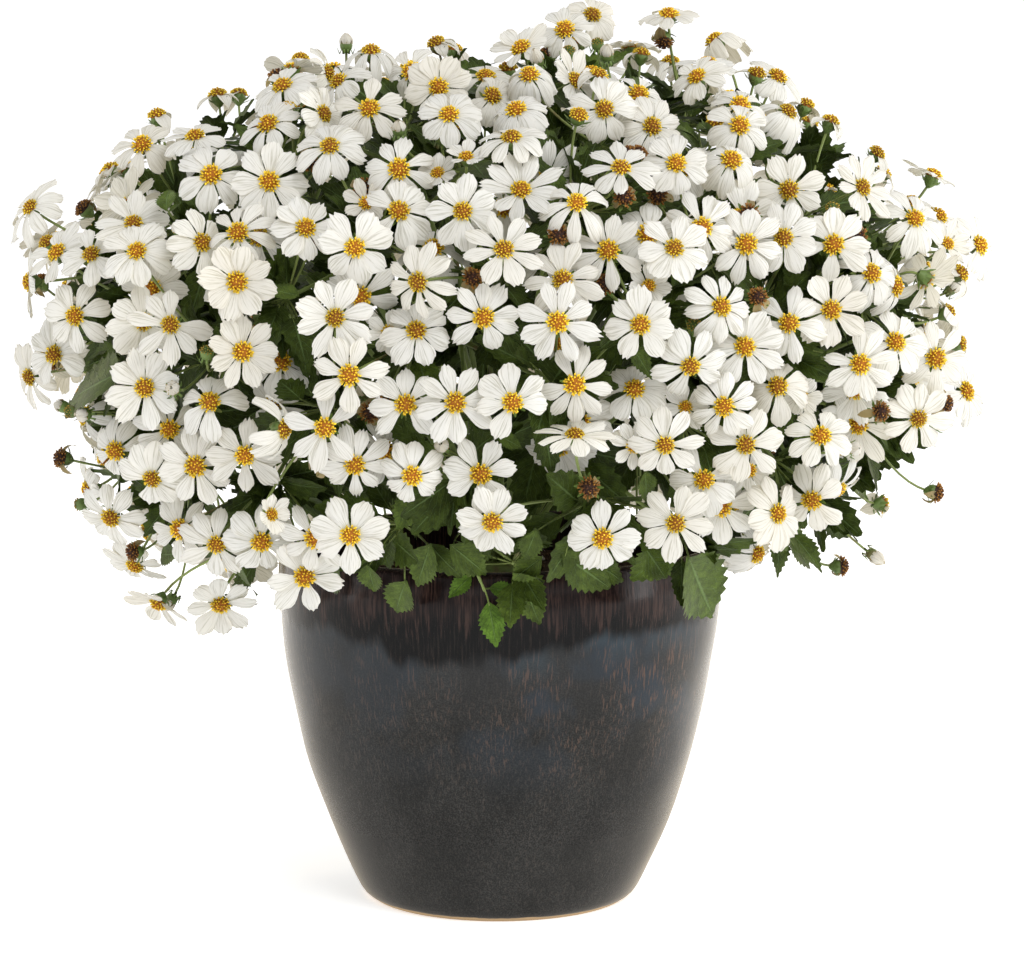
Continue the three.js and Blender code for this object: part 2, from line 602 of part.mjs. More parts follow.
const STRAIGHT = 0.05;
const FACE_HEIGHT = 0.795;
const TRIANGLE = [30, 150, 270];
const HEXAGON = [30, 90, 150, 210, 270, 330];

// A knot is a small ball of twenty faces, and what grows from it starts on one face each.
// Its first face looks back to where the knot itself grows from.
function makeKnot(place, back, radius) {
  const geometry = new THREE.IcosahedronGeometry(radius);
  const corner = (i) => new THREE.Vector3().fromBufferAttribute(geometry.attributes.position, i);
  const firstNormal = new THREE.Triangle(corner(0), corner(1), corner(2)).getNormal(new THREE.Vector3());
  geometry.applyQuaternion(new THREE.Quaternion().setFromUnitVectors(firstNormal, back));
  geometry.translate(place.x, place.y, place.z);
  const faces = [];
  for (let i = 0; i < geometry.attributes.position.count; i += 3) {
    const points = [corner(i), corner(i + 1), corner(i + 2)];
    faces.push({ points, normal: new THREE.Triangle(...points).getNormal(new THREE.Vector3()), free: true });
  }
  faces[0].free = false;
  return { faces, solid: toSolid(geometry) };
}

function takeFace(knot, direction) {
  const free = knot.faces.filter((face) => face.free);
  const best = free.reduce((a, b) => (b.normal.dot(direction) > a.normal.dot(direction) ? b : a));
  best.free = false;
  return best.points;
}

// A stalk that widens into the cup of its flower, with the petals' edge as a ring and the disc as tip
function headSolid(head, knot) {
  const size = THREE.MathUtils.lerp(SMALLEST_CUP, 1, head.radius / FLOWER_RADIUS);
  const foot = takeFace(knot, head.curve.getTangent(0));
  const middle = head.curve.getPoint(0.5);
  const along = head.curve.getTangent(0.5);
  const side = along.clone().cross(head.normal);
  if (side.length() < STRAIGHT) {
    side.set(head.normal.y, -head.normal.x, STRAIGHT);
  }
  side.normalize();
  const waist = ring(middle, side, along.clone().cross(side).normalize(), STALK_RADIUS, TRIANGLE);
  const other = head.normal.clone().cross(side).normalize();
  const cupPlace = head.centre.clone().addScaledVector(head.normal, -CUP_DEPTH * size);
  const cup = ring(cupPlace, side, other, CUP_RADIUS, TRIANGLE);
  const edge = ring(head.centre, side, other, head.radius, HEXAGON);
  const tip = head.centre.clone().addScaledVector(head.normal, DISC_RISE * size);
  return skin([aligned(foot, waist), waist, cup, edge], tip);
}

// A petiole that widens into a blade with a keel
function leafSolid(leaf, knot) {
  const petiole = leaf.foot.clone().sub(leaf.joint.place).normalize();
  const start = takeFace(knot, petiole);
  const bend = petiole.clone().add(leaf.along).normalize();
  const side = leaf.across.clone().addScaledVector(bend, -leaf.across.dot(bend)).normalize();
  const foot = ring(leaf.foot, side, bend.clone().cross(side), PETIOLE_RADIUS, TRIANGLE);
  const middle = leaf.foot.clone().addScaledVector(leaf.along, leaf.length * LEAF_WIDEST);
  const blade = [
    middle.clone().addScaledVector(leaf.across, leaf.width / 2),
    middle.clone().addScaledVector(leaf.across, -leaf.width / 2),
    middle.clone().addScaledVector(leaf.face, -LEAF_THICKNESS),
  ];
  const tip = leaf.foot.clone().addScaledVector(leaf.along, leaf.length);
  return skin([aligned(start, foot), foot, blade], tip);
}

function twigSolids(twig, from, fromKnot) {
  const outward = twig.place.clone().sub(from.place).normalize();
  const knot = makeKnot(twig.place, outward.clone().negate(), KNOT_RADIUS);
  const end = [...knot.faces[0].points].reverse();
  return [
    knot.solid,
    skin([aligned(takeFace(fromKnot, outward), end), end]),
    ...twig.heads.map((head) => headSolid(head, knot)),
    ...twig.leaves.map((leaf) => leafSolid(leaf, knot)),
    ...twig.twigs.flatMap((next) => twigSolids(next, twig, knot)),
  ];
}

// One solid for the whole shoot, with a collar on the back face of its fork, and without the tiny
// hollows that may stay shut in between its pieces
function shootSolid(shoot) {
  const knot = makeKnot(shoot.place, shoot.along.clone().negate(), FORK_RADIUS);
  const collarEnd = [...knot.faces[0].points].reverse();
  const reach = COLLAR - FACE_HEIGHT * FORK_RADIUS;
  const collarStart = collarEnd.map((p) => p.clone().addScaledVector(shoot.along, -reach));
  const joined = wasm.Manifold.union([
    knot.solid,
    skin([collarStart, collarEnd]),
    ...shoot.twigs.flatMap((twig) => twigSolids(twig, shoot, knot)),
    ...shoot.leaves.map((leaf) => leafSolid(leaf, knot)),
  ]);
  const skins = joined.decompose().sort((a, b) => b.volume() - a.volume());
  return skins[0];
}

const potGlaze = new THREE.MeshStandardMaterial({ color: 0x241a19, roughness: 0.18, metalness: 0 });
const pottingMix = new THREE.MeshStandardMaterial({ color: 0x2a1d15, roughness: 0.95, metalness: 0 });
const stemGreen = new THREE.MeshStandardMaterial({ color: 0x5f7a2c, roughness: 0.6, metalness: 0 });
const flowerWhite = new THREE.MeshStandardMaterial({ color: 0xf2f0e6, roughness: 0.55, metalness: 0 });

const model = new THREE.Group();

function add(name, geometry, material) {
  const mesh = new THREE.Mesh(geometry, material);
  mesh.name = name;
  model.add(mesh);
}

// The pot: one wall of even thickness with a round lip and a drain hole in its base

const side = new THREE.SplineCurve(POT_SIDE.map(([r, z]) => new THREE.Vector2(r, z))).getPoints(SIDE_STEPS);

function outsideRadius(z) {
  const above = Math.max(1, side.findIndex((p) => p.y >= z));
  const [a, b] = [side[above - 1], side[above]];
  return a.x + (b.x - a.x) * (z - a.y) / (b.y - a.y);
}

const lipMiddle = side[side.length - 1].x - WALL / 2;
const lipHeight = POT_HEIGHT - WALL / 2;
const lip = new THREE.EllipseCurve(lipMiddle, lipHeight, WALL / 2, WALL / 2, 0, Math.PI).getPoints(LIP_STEPS);
const inside = side.filter((p) => p.y > BASE_THICKNESS + WALL)
  .map((p) => new THREE.Vector2(p.x - WALL, p.y)).reverse();
const floorRadius = outsideRadius(BASE_THICKNESS) - WALL;
const potProfile = [
  new THREE.Vector2(DRAIN_RADIUS, 0), ...side, ...lip, ...inside,
  new THREE.Vector2(floorRadius, BASE_THICKNESS), new THREE.Vector2(DRAIN_RADIUS, BASE_THICKNESS),
  new THREE.Vector2(DRAIN_RADIUS, 0),
];
add('pot', new THREE.LatheGeometry(potProfile, POT_SIDES).rotateX(Math.PI / 2), potGlaze);

// The potting soil fills the pot to below its lip, with a gently domed top

const soilWall = side.filter((p) => p.y > BASE_THICKNESS + WALL && p.y < SOIL_TOP)
  .map((p) => new THREE.Vector2(p.x - WALL - GAP, p.y));
const soilEdge = outsideRadius(SOIL_TOP) - WALL - GAP;
const soilTop = SOIL_RINGS.map((s) => new THREE.Vector2(s * soilEdge, SOIL_TOP + SOIL_DOME * (1 - s * s)));
const soilProfile = [
  new THREE.Vector2(0, BASE_THICKNESS + GAP), new THREE.Vector2(floorRadius - GAP, BASE_THICKNESS + GAP),
  ...soilWall, ...soilTop,
];
add('potting_soil', new THREE.LatheGeometry(soilProfile, POT_SIDES).rotateX(Math.PI / 2), pottingMix);

// The crown, where all main stems begin

const crownProfile = [
  [0, 0], [CROWN_RADIUS, 0], [CROWN_RADIUS - CROWN_SHOULDER[0], CROWN_HEIGHT * CROWN_SHOULDER[1]],
  [CROWN_RADIUS - CROWN_ROUNDING, CROWN_HEIGHT], [0, CROWN_HEIGHT],
].map(([r, z]) => new THREE.Vector2(r, z));
const crown = new THREE.LatheGeometry(crownProfile, CROWN_SIDES).rotateX(Math.PI / 2);
add('crown', crown.translate(0, 0, crownFoot), stemGreen);

// Main stems and the flowering shoots that they carry

shoots.forEach((shoot, index) => {
  const number = String(index + 1).padStart(2, '0');
  add(`main_stem_${number}`, tube(shoot.stem, STEM_RADIUS, STEM_SIDES, STEM_STEPS), stemGreen);
  add(`flowering_shoot_${number}`, toGeometry(shootSolid(shoot)), flowerWhite);
});

export default model;
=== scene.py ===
"""A white bidens in full flower in a dark glazed pot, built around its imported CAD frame.

Metres, +Z up. The viewer's side is -Y. Flowers and leaves are read from the frame's flowering
shoots and stand where their CAD solids do, though a few blades are turned about their midrib.
Buds, old heads and more leaves, which the CAD leaves out, grow from the joints of the same shoots.
"""

from math import cos, pi, radians, sin, sqrt, tan

import bmesh
import bpy
import numpy as np
from numpy.linalg import norm
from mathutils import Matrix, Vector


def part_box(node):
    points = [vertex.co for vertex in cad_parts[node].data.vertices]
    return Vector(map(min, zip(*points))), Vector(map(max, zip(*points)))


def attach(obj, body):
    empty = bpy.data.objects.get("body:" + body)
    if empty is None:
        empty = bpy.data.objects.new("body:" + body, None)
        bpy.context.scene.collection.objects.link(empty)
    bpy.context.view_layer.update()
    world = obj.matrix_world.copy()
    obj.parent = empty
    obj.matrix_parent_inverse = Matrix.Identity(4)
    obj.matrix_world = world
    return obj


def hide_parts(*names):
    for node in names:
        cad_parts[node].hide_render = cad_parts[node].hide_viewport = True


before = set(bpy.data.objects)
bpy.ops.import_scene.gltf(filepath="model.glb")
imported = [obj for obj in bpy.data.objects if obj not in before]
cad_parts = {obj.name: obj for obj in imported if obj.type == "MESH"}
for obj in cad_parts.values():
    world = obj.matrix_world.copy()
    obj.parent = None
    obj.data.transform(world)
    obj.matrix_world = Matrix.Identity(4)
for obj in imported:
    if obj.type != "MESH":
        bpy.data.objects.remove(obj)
stage = bpy.context.scene
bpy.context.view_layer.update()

MM = 0.001
UP = np.array([0.0, 0.0, 1.0])
GOLDEN_ANGLE = pi * (3 - sqrt(5))
SIX_WAYS = np.vstack([np.eye(3), -np.eye(3)])

# Camera: the photograph's eye, a little right of the pot's axis, and its tilt and lens
EYE = np.array([0.0084, -2.4, 0.589])
EYE_TILT_DEG = 7.5
LENS_MM = 131.8

# The plan that the CAD part is grown on, from the same driving dimensions
SHOOTS = 24
TWIGS = 92
MOUND_MIDDLE, MOUND_POWER = np.array([0, 0, 0.370]), 2.1
MOUND_ABOVE, MOUND_BELOW = np.array([0.300, 0.282, 0.187]), np.array([0.300, 0.282, 0.225])
SHOOT_REACH, SHOOT_LOWEST = 0.57, -0.46
TWIG_REACH, TWIG_LOWEST = 0.79, -0.72
STEM_FOCUS = np.array([0.0, 0.0, 0.295])
STEM_RING = 0.022
STEM_RISE, STEM_SWEEP, COLLAR = 0.048, 0.055, 0.0073
TRAIL = [[-0.020, 0.238, -0.170], [-0.015, 0.213, -0.164], [-0.009, 0.199, -0.160]]
KNEE = 0.026
LEAF_WIDEST = 0.42
LEAF_KEEL = 0.0007

# Full-size flower, and the sizes of other heads as shares of it
FLOWER_RADIUS = 0.023
YOUNG_BELOW = 0.8
YOUNG_SIZE, ORANGE_SIZE, SPENT_SIZE, BUD_SIZE = 0.72, 0.97, 0.95, 0.72
DISC_RADIUS = 0.0047
DISC_HEIGHT = 0.0042
DISC_SEAT = 0.0006
PETAL_START = 0.0042
PETAL_RISE = 0.0008
PLEAT = 0.00022
FLORETS, BUD_FLORETS = 50, 32
FLORET_SIDES = 3
DISC_LEAN = 1.5
FLORET_RISE = 0.0012
FLORET_LEAN = 0.0004
FLORET_RADII = [0.00058, 0.00074]
CUP_DEPTH = 0.007
CUP_PROFILE = [
    (0.0009, -0.0075), (0.0024, -0.0062), (0.0042, -0.0040), (0.0050, -0.0016), (0.0044, 0.0008)]
BUD_PROFILE = [
    (0.0009, -0.0085), (0.0032, -0.0070), (0.0052, -0.0040), (0.0058, -0.0010), (0.0048, 0.0018)]
CUP_SIDES = BRACTS = 8
STALK_RADIUS = 0.0008
TWIG_RADIUS = 0.0011
TWIG_BALL, FORK_BALL = 0.0019, 0.0027
STEM_ROOT_RADIUS, STEM_TIP_RADIUS = 0.0019, 0.0015
NODE_SPACING = 0.034
STEM_STEPS, STEM_SIDES = 28, 9

# Pot and soil
POT_SIDE = [
    [83.5, 0], [91, 7], [103, 33], [114, 60], [123, 87], [129.5, 113],
    [135.5, 140], [139.5, 166], [142, 190], [143, 208], [142.2, 220],
]
POT_SIDES = 128
POT_HEIGHT, WALL, BASE_THICKNESS, DRAIN_RADIUS = 0.232, 0.0095, 0.014, 0.012
SOIL_TOP, SOIL_DOME, SOIL_GAP = 0.206, 0.003, 0.0003
SOIL_BROWN, PERLITE = np.array([0.055, 0.034, 0.020]), np.array([0.62, 0.60, 0.55])
CRUMBS, PALE_CRUMBS = 700, 0.14
OCTAHEDRON = [
    [0, 1, 2], [1, 3, 2], [3, 4, 2], [4, 0, 2], [1, 0, 5], [3, 1, 5], [4, 3, 5], [0, 4, 5],
]

# Studio: large soft lights as name, place, target, size in metres, power in watts and colour
WHITE, WARM = (1, 1, 1), (1, 0.88, 0.68)
FLOOR_RADIUS = 140
FLOOR_GLOW = 0.46
WORLD_LIGHT = 0.72
LIGHTS = [
    ("key", (0.9, -2.2, 2.3), (0, 0, 0.35), (1.4, 1.4), 46, WHITE),
    ("side_right", (1.9, -0.5, 0.8), (0, 0, 0.25), (0.5, 1.8), 18, WHITE),
    ("side_left", (-1.9, -0.5, 0.8), (0, 0, 0.25), (0.5, 1.8), 8, WHITE),
    ("back_right", (1.6, 1.5, 0.8), (0, 0, 0.25), (0.9, 1.8), 14, WARM),
    ("back_left", (-1.6, 1.5, 0.8), (0, 0, 0.25), (0.9, 1.8), 10, WARM),
]


def rng(*keys):
    """The same random numbers in each run, for each set of keys."""
    return np.random.default_rng([20, *keys])


def unit(v):
    v = np.asarray(v, float)
    return v / norm(v, axis=-1, keepdims=True)


def round_angles(count):
    return 2 * np.pi * np.arange(count) / count


# The mound and its skeleton


def mound_size(offset):
    return np.where(offset[..., 2:] > 0, MOUND_ABOVE, MOUND_BELOW)


def mound_level(p):
    """0 in the mound's middle and 1 on its face."""
    offset = p - MOUND_MIDDLE
    share = np.abs(offset / mound_size(offset)) ** MOUND_POWER
    return np.sum(share, axis=-1) ** (1 / MOUND_POWER)


def mound_point(direction, reach):
    p = direction * mound_size(direction)
    return MOUND_MIDDLE + p * reach / mound_level(MOUND_MIDDLE + p)


def mound_normal(p):
    offset = p - MOUND_MIDDLE
    return unit(offset / mound_size(offset) ** 2)


def lattice_direction(index, count, lowest):
    z = 1 - (1 - lowest) * (index + 0.5) / count
    r = sqrt(1 - z * z)
    return np.array([r * cos(index * GOLDEN_ANGLE), r * sin(index * GOLDEN_ANGLE), z])


def on_sight_line(x, z, y):
    """The point at depth y behind the place (x, z) of the upright plane through the pot's axis."""
    k = 1 - y / EYE[1]
    return np.stack([x * k, y + 0 * k, EYE[2] + (z - EYE[2]) * k], axis=-1)


def nearest(points, p):
    return int(np.argmin(norm(np.asarray(points) - p, axis=1)))


def bezier(points, t):
    """Points of a Bezier curve of any order at the places t."""
    layer = [np.asarray(p, float) + 0 * t[:, None] for p in points]
    while len(layer) > 1:
        layer = [a + (b - a) * t[:, None] for a, b in zip(layer, layer[1:])]
    return layer[0]


crown_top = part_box("crown")[1].z
forks, stems = [], []
for i in range(SHOOTS):
    direction = lattice_direction(i, SHOOTS, SHOOT_LOWEST)
    fork = mound_point(direction, SHOOT_REACH)
    along = unit(fork - STEM_FOCUS)
    flat = unit([direction[0], direction[1], 0])
    root = flat * STEM_RING * sqrt((1 - direction[2]) / (1 - SHOOT_LOWEST))
    root[2] = crown_top
    bend, end = fork - along * (STEM_SWEEP + COLLAR), fork - along * COLLAR
    stems.append([root, root + UP * STEM_RISE, bend, end])
    forks.append(fork)
forks = np.array(forks)

twigs = np.array([
    mound_point(lattice_direction(i, TWIGS, TWIG_LOWEST), TWIG_REACH) for i in range(TWIGS)])
twig_fork = np.array([nearest(forks, p) for p in twigs])


# Reading heads and leaves from the flowering shoots of the frame

WELD = 1e-5
HEAD_SIDES, LEAF_CORNERS = 6, 3
SMALLEST_HEAD = 0.008
RING_SPREAD = 5e-5


def welded(node):
    """Points of a CAD node, and for each point the points that it is joined to."""
    mesh = bmesh.new()
    mesh.from_mesh(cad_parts[node].data)
    bmesh.ops.remove_doubles(mesh, verts=mesh.verts, dist=WELD)
    mesh.verts.index_update()
    points = np.array([v.co for v in mesh.verts])
    links = [[e.other_vert(v).index for e in v.link_edges] for v in mesh.verts]
    mesh.free()
    return points, links


def beyond(ring, links, *known):
    """Points next to a ring that belong neither to it nor to the known rings."""
    return sorted({j for i in ring for j in links[i]} - set(ring) - {k for ks in known for k in ks})


def read_heads(points, links):
    """Flowers: a disc's apex joined to a round ring, with the waist of its stalk behind."""
    heads = []
    for apex, ring in enumerate(links):
        if len(ring) != HEAD_SIDES:
            continue
        centre = points[ring].mean(0)
        reach = norm(points[ring] - centre, axis=1)
        if reach.min() < SMALLEST_HEAD or np.ptp(reach) > RING_SPREAD:
            continue
        normal = unit(points[apex] - centre)
        knee = centre - normal * KNEE
        cup = beyond(ring, links, [apex])
        waist = beyond(cup, links, ring)
        start = 4 * points[waist].mean(0) - 2 * knee - centre
        heads.append(dict(centre=centre, normal=normal, radius=reach.mean(), start=start))
    return heads


def read_leaves(points, links):
    """Leaves: a tip joined to two edges and a keel a little under the middle of them."""
    leaves = []
    for tip, ring in enumerate(links):
        if len(ring) != LEAF_CORNERS:
            continue
        pairs = [np.roll(ring, k) for k in range(3)]
        a, b, keel = max(pairs, key=lambda q: norm(points[q[0]] - points[q[1]]))
        middle = (points[a] + points[b]) / 2
        drop = middle - points[keel]
        along = points[tip] - middle
        length = norm(along) / (1 - LEAF_WIDEST)
        width = norm(points[a] - points[b])
        if abs(norm(drop) - LEAF_KEEL) > LEAF_KEEL / 5 or width < length / 2:
            continue
        along = unit(along)
        foot = points[tip] - along * length
        leaves.append(dict(foot=foot, along=along, face=unit(drop), length=length, width=width))
    return leaves


# Mesh pieces, collected as arrays


def placed(name, data):
    made = bpy.data.objects.new(name, data)
    stage.collection.objects.link(made)
    return made


class Shape:
    """Points, faces, pattern coordinates and tints of one piece."""

    def __init__(self):
        self.points, self.faces, self.uv, self.tint, self.count = [], [], [], [], 0

    def add(self, points, faces, uv, tint):
        points = np.asarray(points, float).reshape(-1, 3)
        n = len(points)
        self.points.append(points)
        for f in faces:
            self.faces.append(np.asarray(f) + self.count)
        self.uv.append(np.broadcast_to(np.asarray(uv, float).reshape(-1, 2), (n, 2)))
        self.tint.append(np.broadcast_to(np.asarray(tint, float).reshape(-1, 3), (n, 3)))
        self.count += n

    def stamp(self, copies, faces, uv, tint):
        """Adds copies (many, points, 3) of a template, with a tint for each copy or point."""
        many, each = copies.shape[:2]
        shift = (np.arange(many) * each)[:, None, None]
        wide = [(f[None] + shift).reshape(-1, f.shape[1]) for f in faces]
        tints = np.broadcast_to(tint, (many, each, 3)).reshape(-1, 3)
        self.add(copies, wide, np.tile(uv, (many, 1)), tints)

    def piece(self, node, ending, material, slot):
        """The visible piece that stands for a CAD node, named after it."""
        name = node + ending
        points = np.vstack(self.points)
        loops = np.hstack([f.ravel() for f in self.faces]).astype(np.int32)
        sizes = np.hstack([np.full(len(f), f.shape[1]) for f in self.faces]).astype(np.int32)
        starts = np.hstack([0, np.cumsum(sizes)[:-1]]).astype(np.int32)
        mesh = bpy.data.meshes.new(name)
        for items, what, values in (
                (mesh.vertices, "co", points.astype(np.float32)),
                (mesh.loops, "vertex_index", loops), (mesh.polygons, "loop_start", starts)):
            items.add(len(values))
            items.foreach_set(what, values.ravel())
        mesh.polygons.foreach_set("loop_total", sizes)
        mesh.update(calc_edges=True)
        mesh.polygons.foreach_set("use_smooth", np.full(len(sizes), True))
        layer = mesh.uv_layers.new(name="pattern")
        layer.data.foreach_set("uv", np.vstack(self.uv)[loops].astype(np.float32).ravel())
        tints = mesh.attributes.new("tint", "FLOAT_COLOR", "POINT")
        rgba = np.hstack([np.vstack(self.tint), np.ones((len(points), 1))])
        tints.data.foreach_set("color", rgba.astype(np.float32).ravel())
        mesh.materials.append(material)
        mesh.validate()
        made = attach(placed(name, mesh), "root")
        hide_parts(node)


def grid_faces(rows, columns, closed=False):
    """Quads of a grid of points, with columns running round if closed."""
    wrap = columns if closed else columns - 1
    i, j = np.meshgrid(np.arange(rows - 1), np.arange(wrap), indexing="ij")
    a, b = i * columns + j, i * columns + (j + 1) % columns
    return np.stack([a, b, b + columns, a + columns], axis=-1).reshape(-1, 4)


def grid_pattern(rows, columns):
    i, j = np.meshgrid(np.linspace(0, 1, rows), np.linspace(0, 1, columns), indexing="ij")
    return np.stack([j, i], axis=-1).reshape(-1, 2)


def fan(ring, tip):
    """Triangles from a ring of points to a tip."""
    ring = np.asarray(ring)
    return np.stack([ring, np.roll(ring, -1), np.full(len(ring), tip)], axis=1)


def across(normal, phase=0.0):
    """Two unit vectors across each normal, turned about it by phase."""
    normal = unit(normal)
    helper = np.where(np.abs(normal[..., 2:]) > 0.9, [1.0, 0, 0], UP)
    x = unit(np.cross(helper, normal))
    y = np.cross(normal, x)
    phase = np.asarray(phase)[..., None]
    c, s = np.cos(phase), np.sin(phase)
    return x * c + y * s, y * c - x * s


def tube(shape, path, radii, sides, tint):
    """A round tube with closed ends along a path."""
    steps = len(path)
    tangent = unit(np.gradient(path, axis=0))
    x, _ = across(tangent[0])
    angle = round_angles(sides)
    rings = []
    for p, t, r in zip(path, tangent, radii):
        x = unit(x - t * (x @ t))
        y = np.cross(t, x)
        rings.append(p + r * (np.cos(angle)[:, None] * x + np.sin(angle)[:, None] * y))
    points = np.vstack([*rings, path[:1], path[-1:]])
    uv = np.vstack([grid_pattern(steps, sides), [[0, 0], [0, 1]]])
    first, last = np.arange(sides)[::-1], np.arange(sides) + (steps - 1) * sides
    ends = np.vstack([fan(first, steps * sides), fan(last, steps * sides + 1)])
    shape.add(points, [grid_faces(steps, sides, True), ends], uv, tint)


def lathe(profile, sides):
    """Points of a surface of revolution from (radius, height) pairs, ring by ring."""
    angle = round_angles(sides)
    r, z = np.asarray(profile, float).T[:, :, None]
    return np.stack([r * np.cos(angle), r * np.sin(angle), z + 0 * angle], axis=-1).reshape(-1, 3)


def smoothstep(low, high, x):
    t = np.clip((x - low) / (high - low), 0, 1)
    return t * t * (3 - 2 * t)


def jitter(colour, r, amount):
    return colour * (1 + amount * r.uniform(-1, 1))


# Flowers

# Dark ground, middle and rim of a disc
FRESH_DISC = np.array([[0.36, 0.120, 0.005], [0.95, 0.520, 0.018], [0.98, 0.680, 0.040]])
OLDER_DISC = FRESH_DISC * [[0.7], [0.75], [0.85]]
SPENT_DISC = np.array([[0.030, 0.010, 0.004], [0.10, 0.030, 0.010], [0.30, 0.130, 0.020]])
BUD_DISC = np.array([[0.050, 0.090, 0.015], [0.22, 0.260, 0.040], [0.42, 0.260, 0.030]])
CUP_GREEN = np.array([0.095, 0.145, 0.035])
STALK_GREEN = np.array([0.190, 0.240, 0.068])
STEM_GREEN = np.array([0.150, 0.200, 0.050])
# Green of the added leaves, darker than the leaves read from the frame: partly painted shade that
# deepens the gaps between the flowers
LEAF_GREEN_PAINTED_SHADE = np.array([0.040, 0.061, 0.009])
FRESH_GREEN = np.array([0.110, 0.205, 0.026])
DOME_SIDES, DOME_ROWS = 10, 5
YELLOW_SHARE = 0.7


def domed(profile, sides, top):
    """Points and faces of a surface of revolution, closed by a point at the top height."""
    last = (len(profile) - 1) * sides
    faces = [grid_faces(len(profile), sides, True), fan(np.arange(sides) + last, last + sides)]
    return np.vstack([lathe(profile, sides), [[0, 0, top]]]), faces


def disc_template(key, florets, height, crowding, colours):
    """A dome set with florets along a golden spiral, as a Shape with its axis along z."""
    draw = rng(key).uniform
    shape = Shape()
    dark, middle, rim = colours
    slopes = np.linspace(1.7, 0.25, DOME_ROWS)
    dome = [(DISC_RADIUS * sin(a), height * cos(a)) for a in slopes]
    shape.add(*domed(dome, DOME_SIDES, height), [0.5, 0], dark)

    k = np.arange(florets)
    out = np.sqrt((k + 0.5) / florets)
    lean = out * DISC_LEAN + draw(-0.06, 0.06, florets)
    turn = k * GOLDEN_ANGLE + draw(-0.10, 0.10, florets) / out
    flat = np.sin(lean)
    axis = np.stack([flat * np.cos(turn), flat * np.sin(turn), np.cos(lean)], axis=-1)
    foot = axis * [DISC_RADIUS, DISC_RADIUS, height]
    x, y = across(axis, draw(0, 6, florets))
    rise = FLORET_RISE * (0.75 + crowding * smoothstep(0.35, 0.9, out))
    rise = rise * draw(0.75, 1.25, florets)
    angle = round_angles(FLORET_SIDES)
    around = x[:, None] * np.cos(angle)[:, None] + y[:, None] * np.sin(angle)[:, None]
    low = foot[:, None] + around * FLORET_RADII[0]
    mid = foot[:, None] + around * FLORET_RADII[1] + (axis * rise[:, None])[:, None]
    bend = x * draw(-1, 1, (florets, 1)) + y * draw(-1, 1, (florets, 1))
    tip = foot[:, None] + (axis * rise[:, None] * 1.4 + bend * FLORET_LEAN)[:, None]
    ring = np.arange(FLORET_SIDES)
    faces = [grid_faces(2, FLORET_SIDES, True), fan(ring + FLORET_SIDES, 2 * FLORET_SIDES)]
    fresh = smoothstep(0.0, 0.7, out + draw(-0.4, 0.4, florets))[:, None]
    body = (middle * (1 - fresh) + rim * fresh) * draw(0.7, 1.15, (florets, 1))
    tint = np.repeat(body[:, None], 2 * FLORET_SIDES + 1, axis=1)
    tint[:, :FLORET_SIDES] = tint[:, :FLORET_SIDES] * 0.3 + dark * 0.5
    shape.stamp(np.hstack([low, mid, tip]), faces, [[0.5, 0.5]] * tint.shape[1], tint)
    return shape


# A bract's radii, heights and half widths from its foot to its tip
BRACT = [(0.0042, -0.0042, 0.0009), (0.0064, -0.0030, 0.0011), (0.0088, -0.0012, 0.0003)]


def cup_template(profile, hang):
    """A green cup with a ring of narrow bracts, its axis along z and its mouth at height 0."""
    shape = Shape()
    faces = [grid_faces(len(profile), CUP_SIDES, True)]
    shape.add(lathe(profile, CUP_SIDES), faces, [0.5, 0], CUP_GREEN)
    for b in range(BRACTS):
        turn = 2 * pi * (b + 0.5) / BRACTS
        out = np.array([cos(turn), sin(turn), 0])
        side = np.array([-out[1], out[0], 0])
        line = [(r, z * (hang if row else 1), w) for row, (r, z, w) in enumerate(BRACT)]
        points = [out * r + UP * z + side * w * s for r, z, w in line for s in (-1, 1)]
        shape.add(points, [grid_faces(3, 2)], [0.5, 0.5], CUP_GREEN * 1.2)
    return shape


def stamp(target, template, origins, normals, phases, sizes, shades):
    """The template at each origin with its z along each normal, shaded by one number each."""
    points = np.vstack(template.points)
    x, y = across(normals, phases)
    frames = np.stack([x, y, normals], axis=1) * sizes[:, None, None]
    copies = origins[:, None] + np.einsum("pk,nkj->npj", points, frames)
    tint = np.vstack(template.tint)[None] * shades[:, None, None]
    target.stamp(copies, template.faces, np.vstack(template.uv), tint)


def add_ray(shape, head, axes, turn, u, v, reach, sideways, rise, tint):
    """A ray at a turn about a head, by distances outward, sideways and forward over u and v."""
    out = axes[0] * cos(turn) + axes[1] * sin(turn)
    side = np.cross(head["normal"], out)
    points = head["centre"] + reach[..., None] * out + sideways[..., None] * side
    points = points + rise[..., None] * head["normal"]
    uv = np.stack(np.broadcast_arrays((v + 1) / 2, u), axis=-1)
    shape.add(points, [grid_faces(*points.shape[:2])], uv, tint)


# Lift and droop of the rays, from a young flower to one bent back, and how common each is
HABITS = [[0.55, 0.05], [0.36, 0.12], [0.14, 0.20], [0.16, 0.32], [0.12, 0.46], [0.08, 0.75]]
HABIT_SHARES = [0, 0.10, 0.26, 0.28, 0.20, 0.16]
TOP_DROOP = 0.32
FALLEN = 0.03
RAYS, YOUNG_RAYS, OPENING_RAYS = [7, 7, 8, 8, 8, 9], 7, 7
WIDEST_RAY = 0.0158
PETAL_U = np.array([0, 0.09, 0.24, 0.42, 0.6, 0.76, 0.88, 0.96, 1.0])
PETAL_V = np.linspace(-1, 1, 7)
PETAL_PLEAT = np.array([-0.3, 1, -1, 1, -1, 1, -0.3])
PETAL_TEETH = np.array([-1.2, 0.6, -0.8, 0.8, -0.8, 0.6, -1.2])


def is_young(head):
    return head["radius"] < FLOWER_RADIUS * YOUNG_BELOW


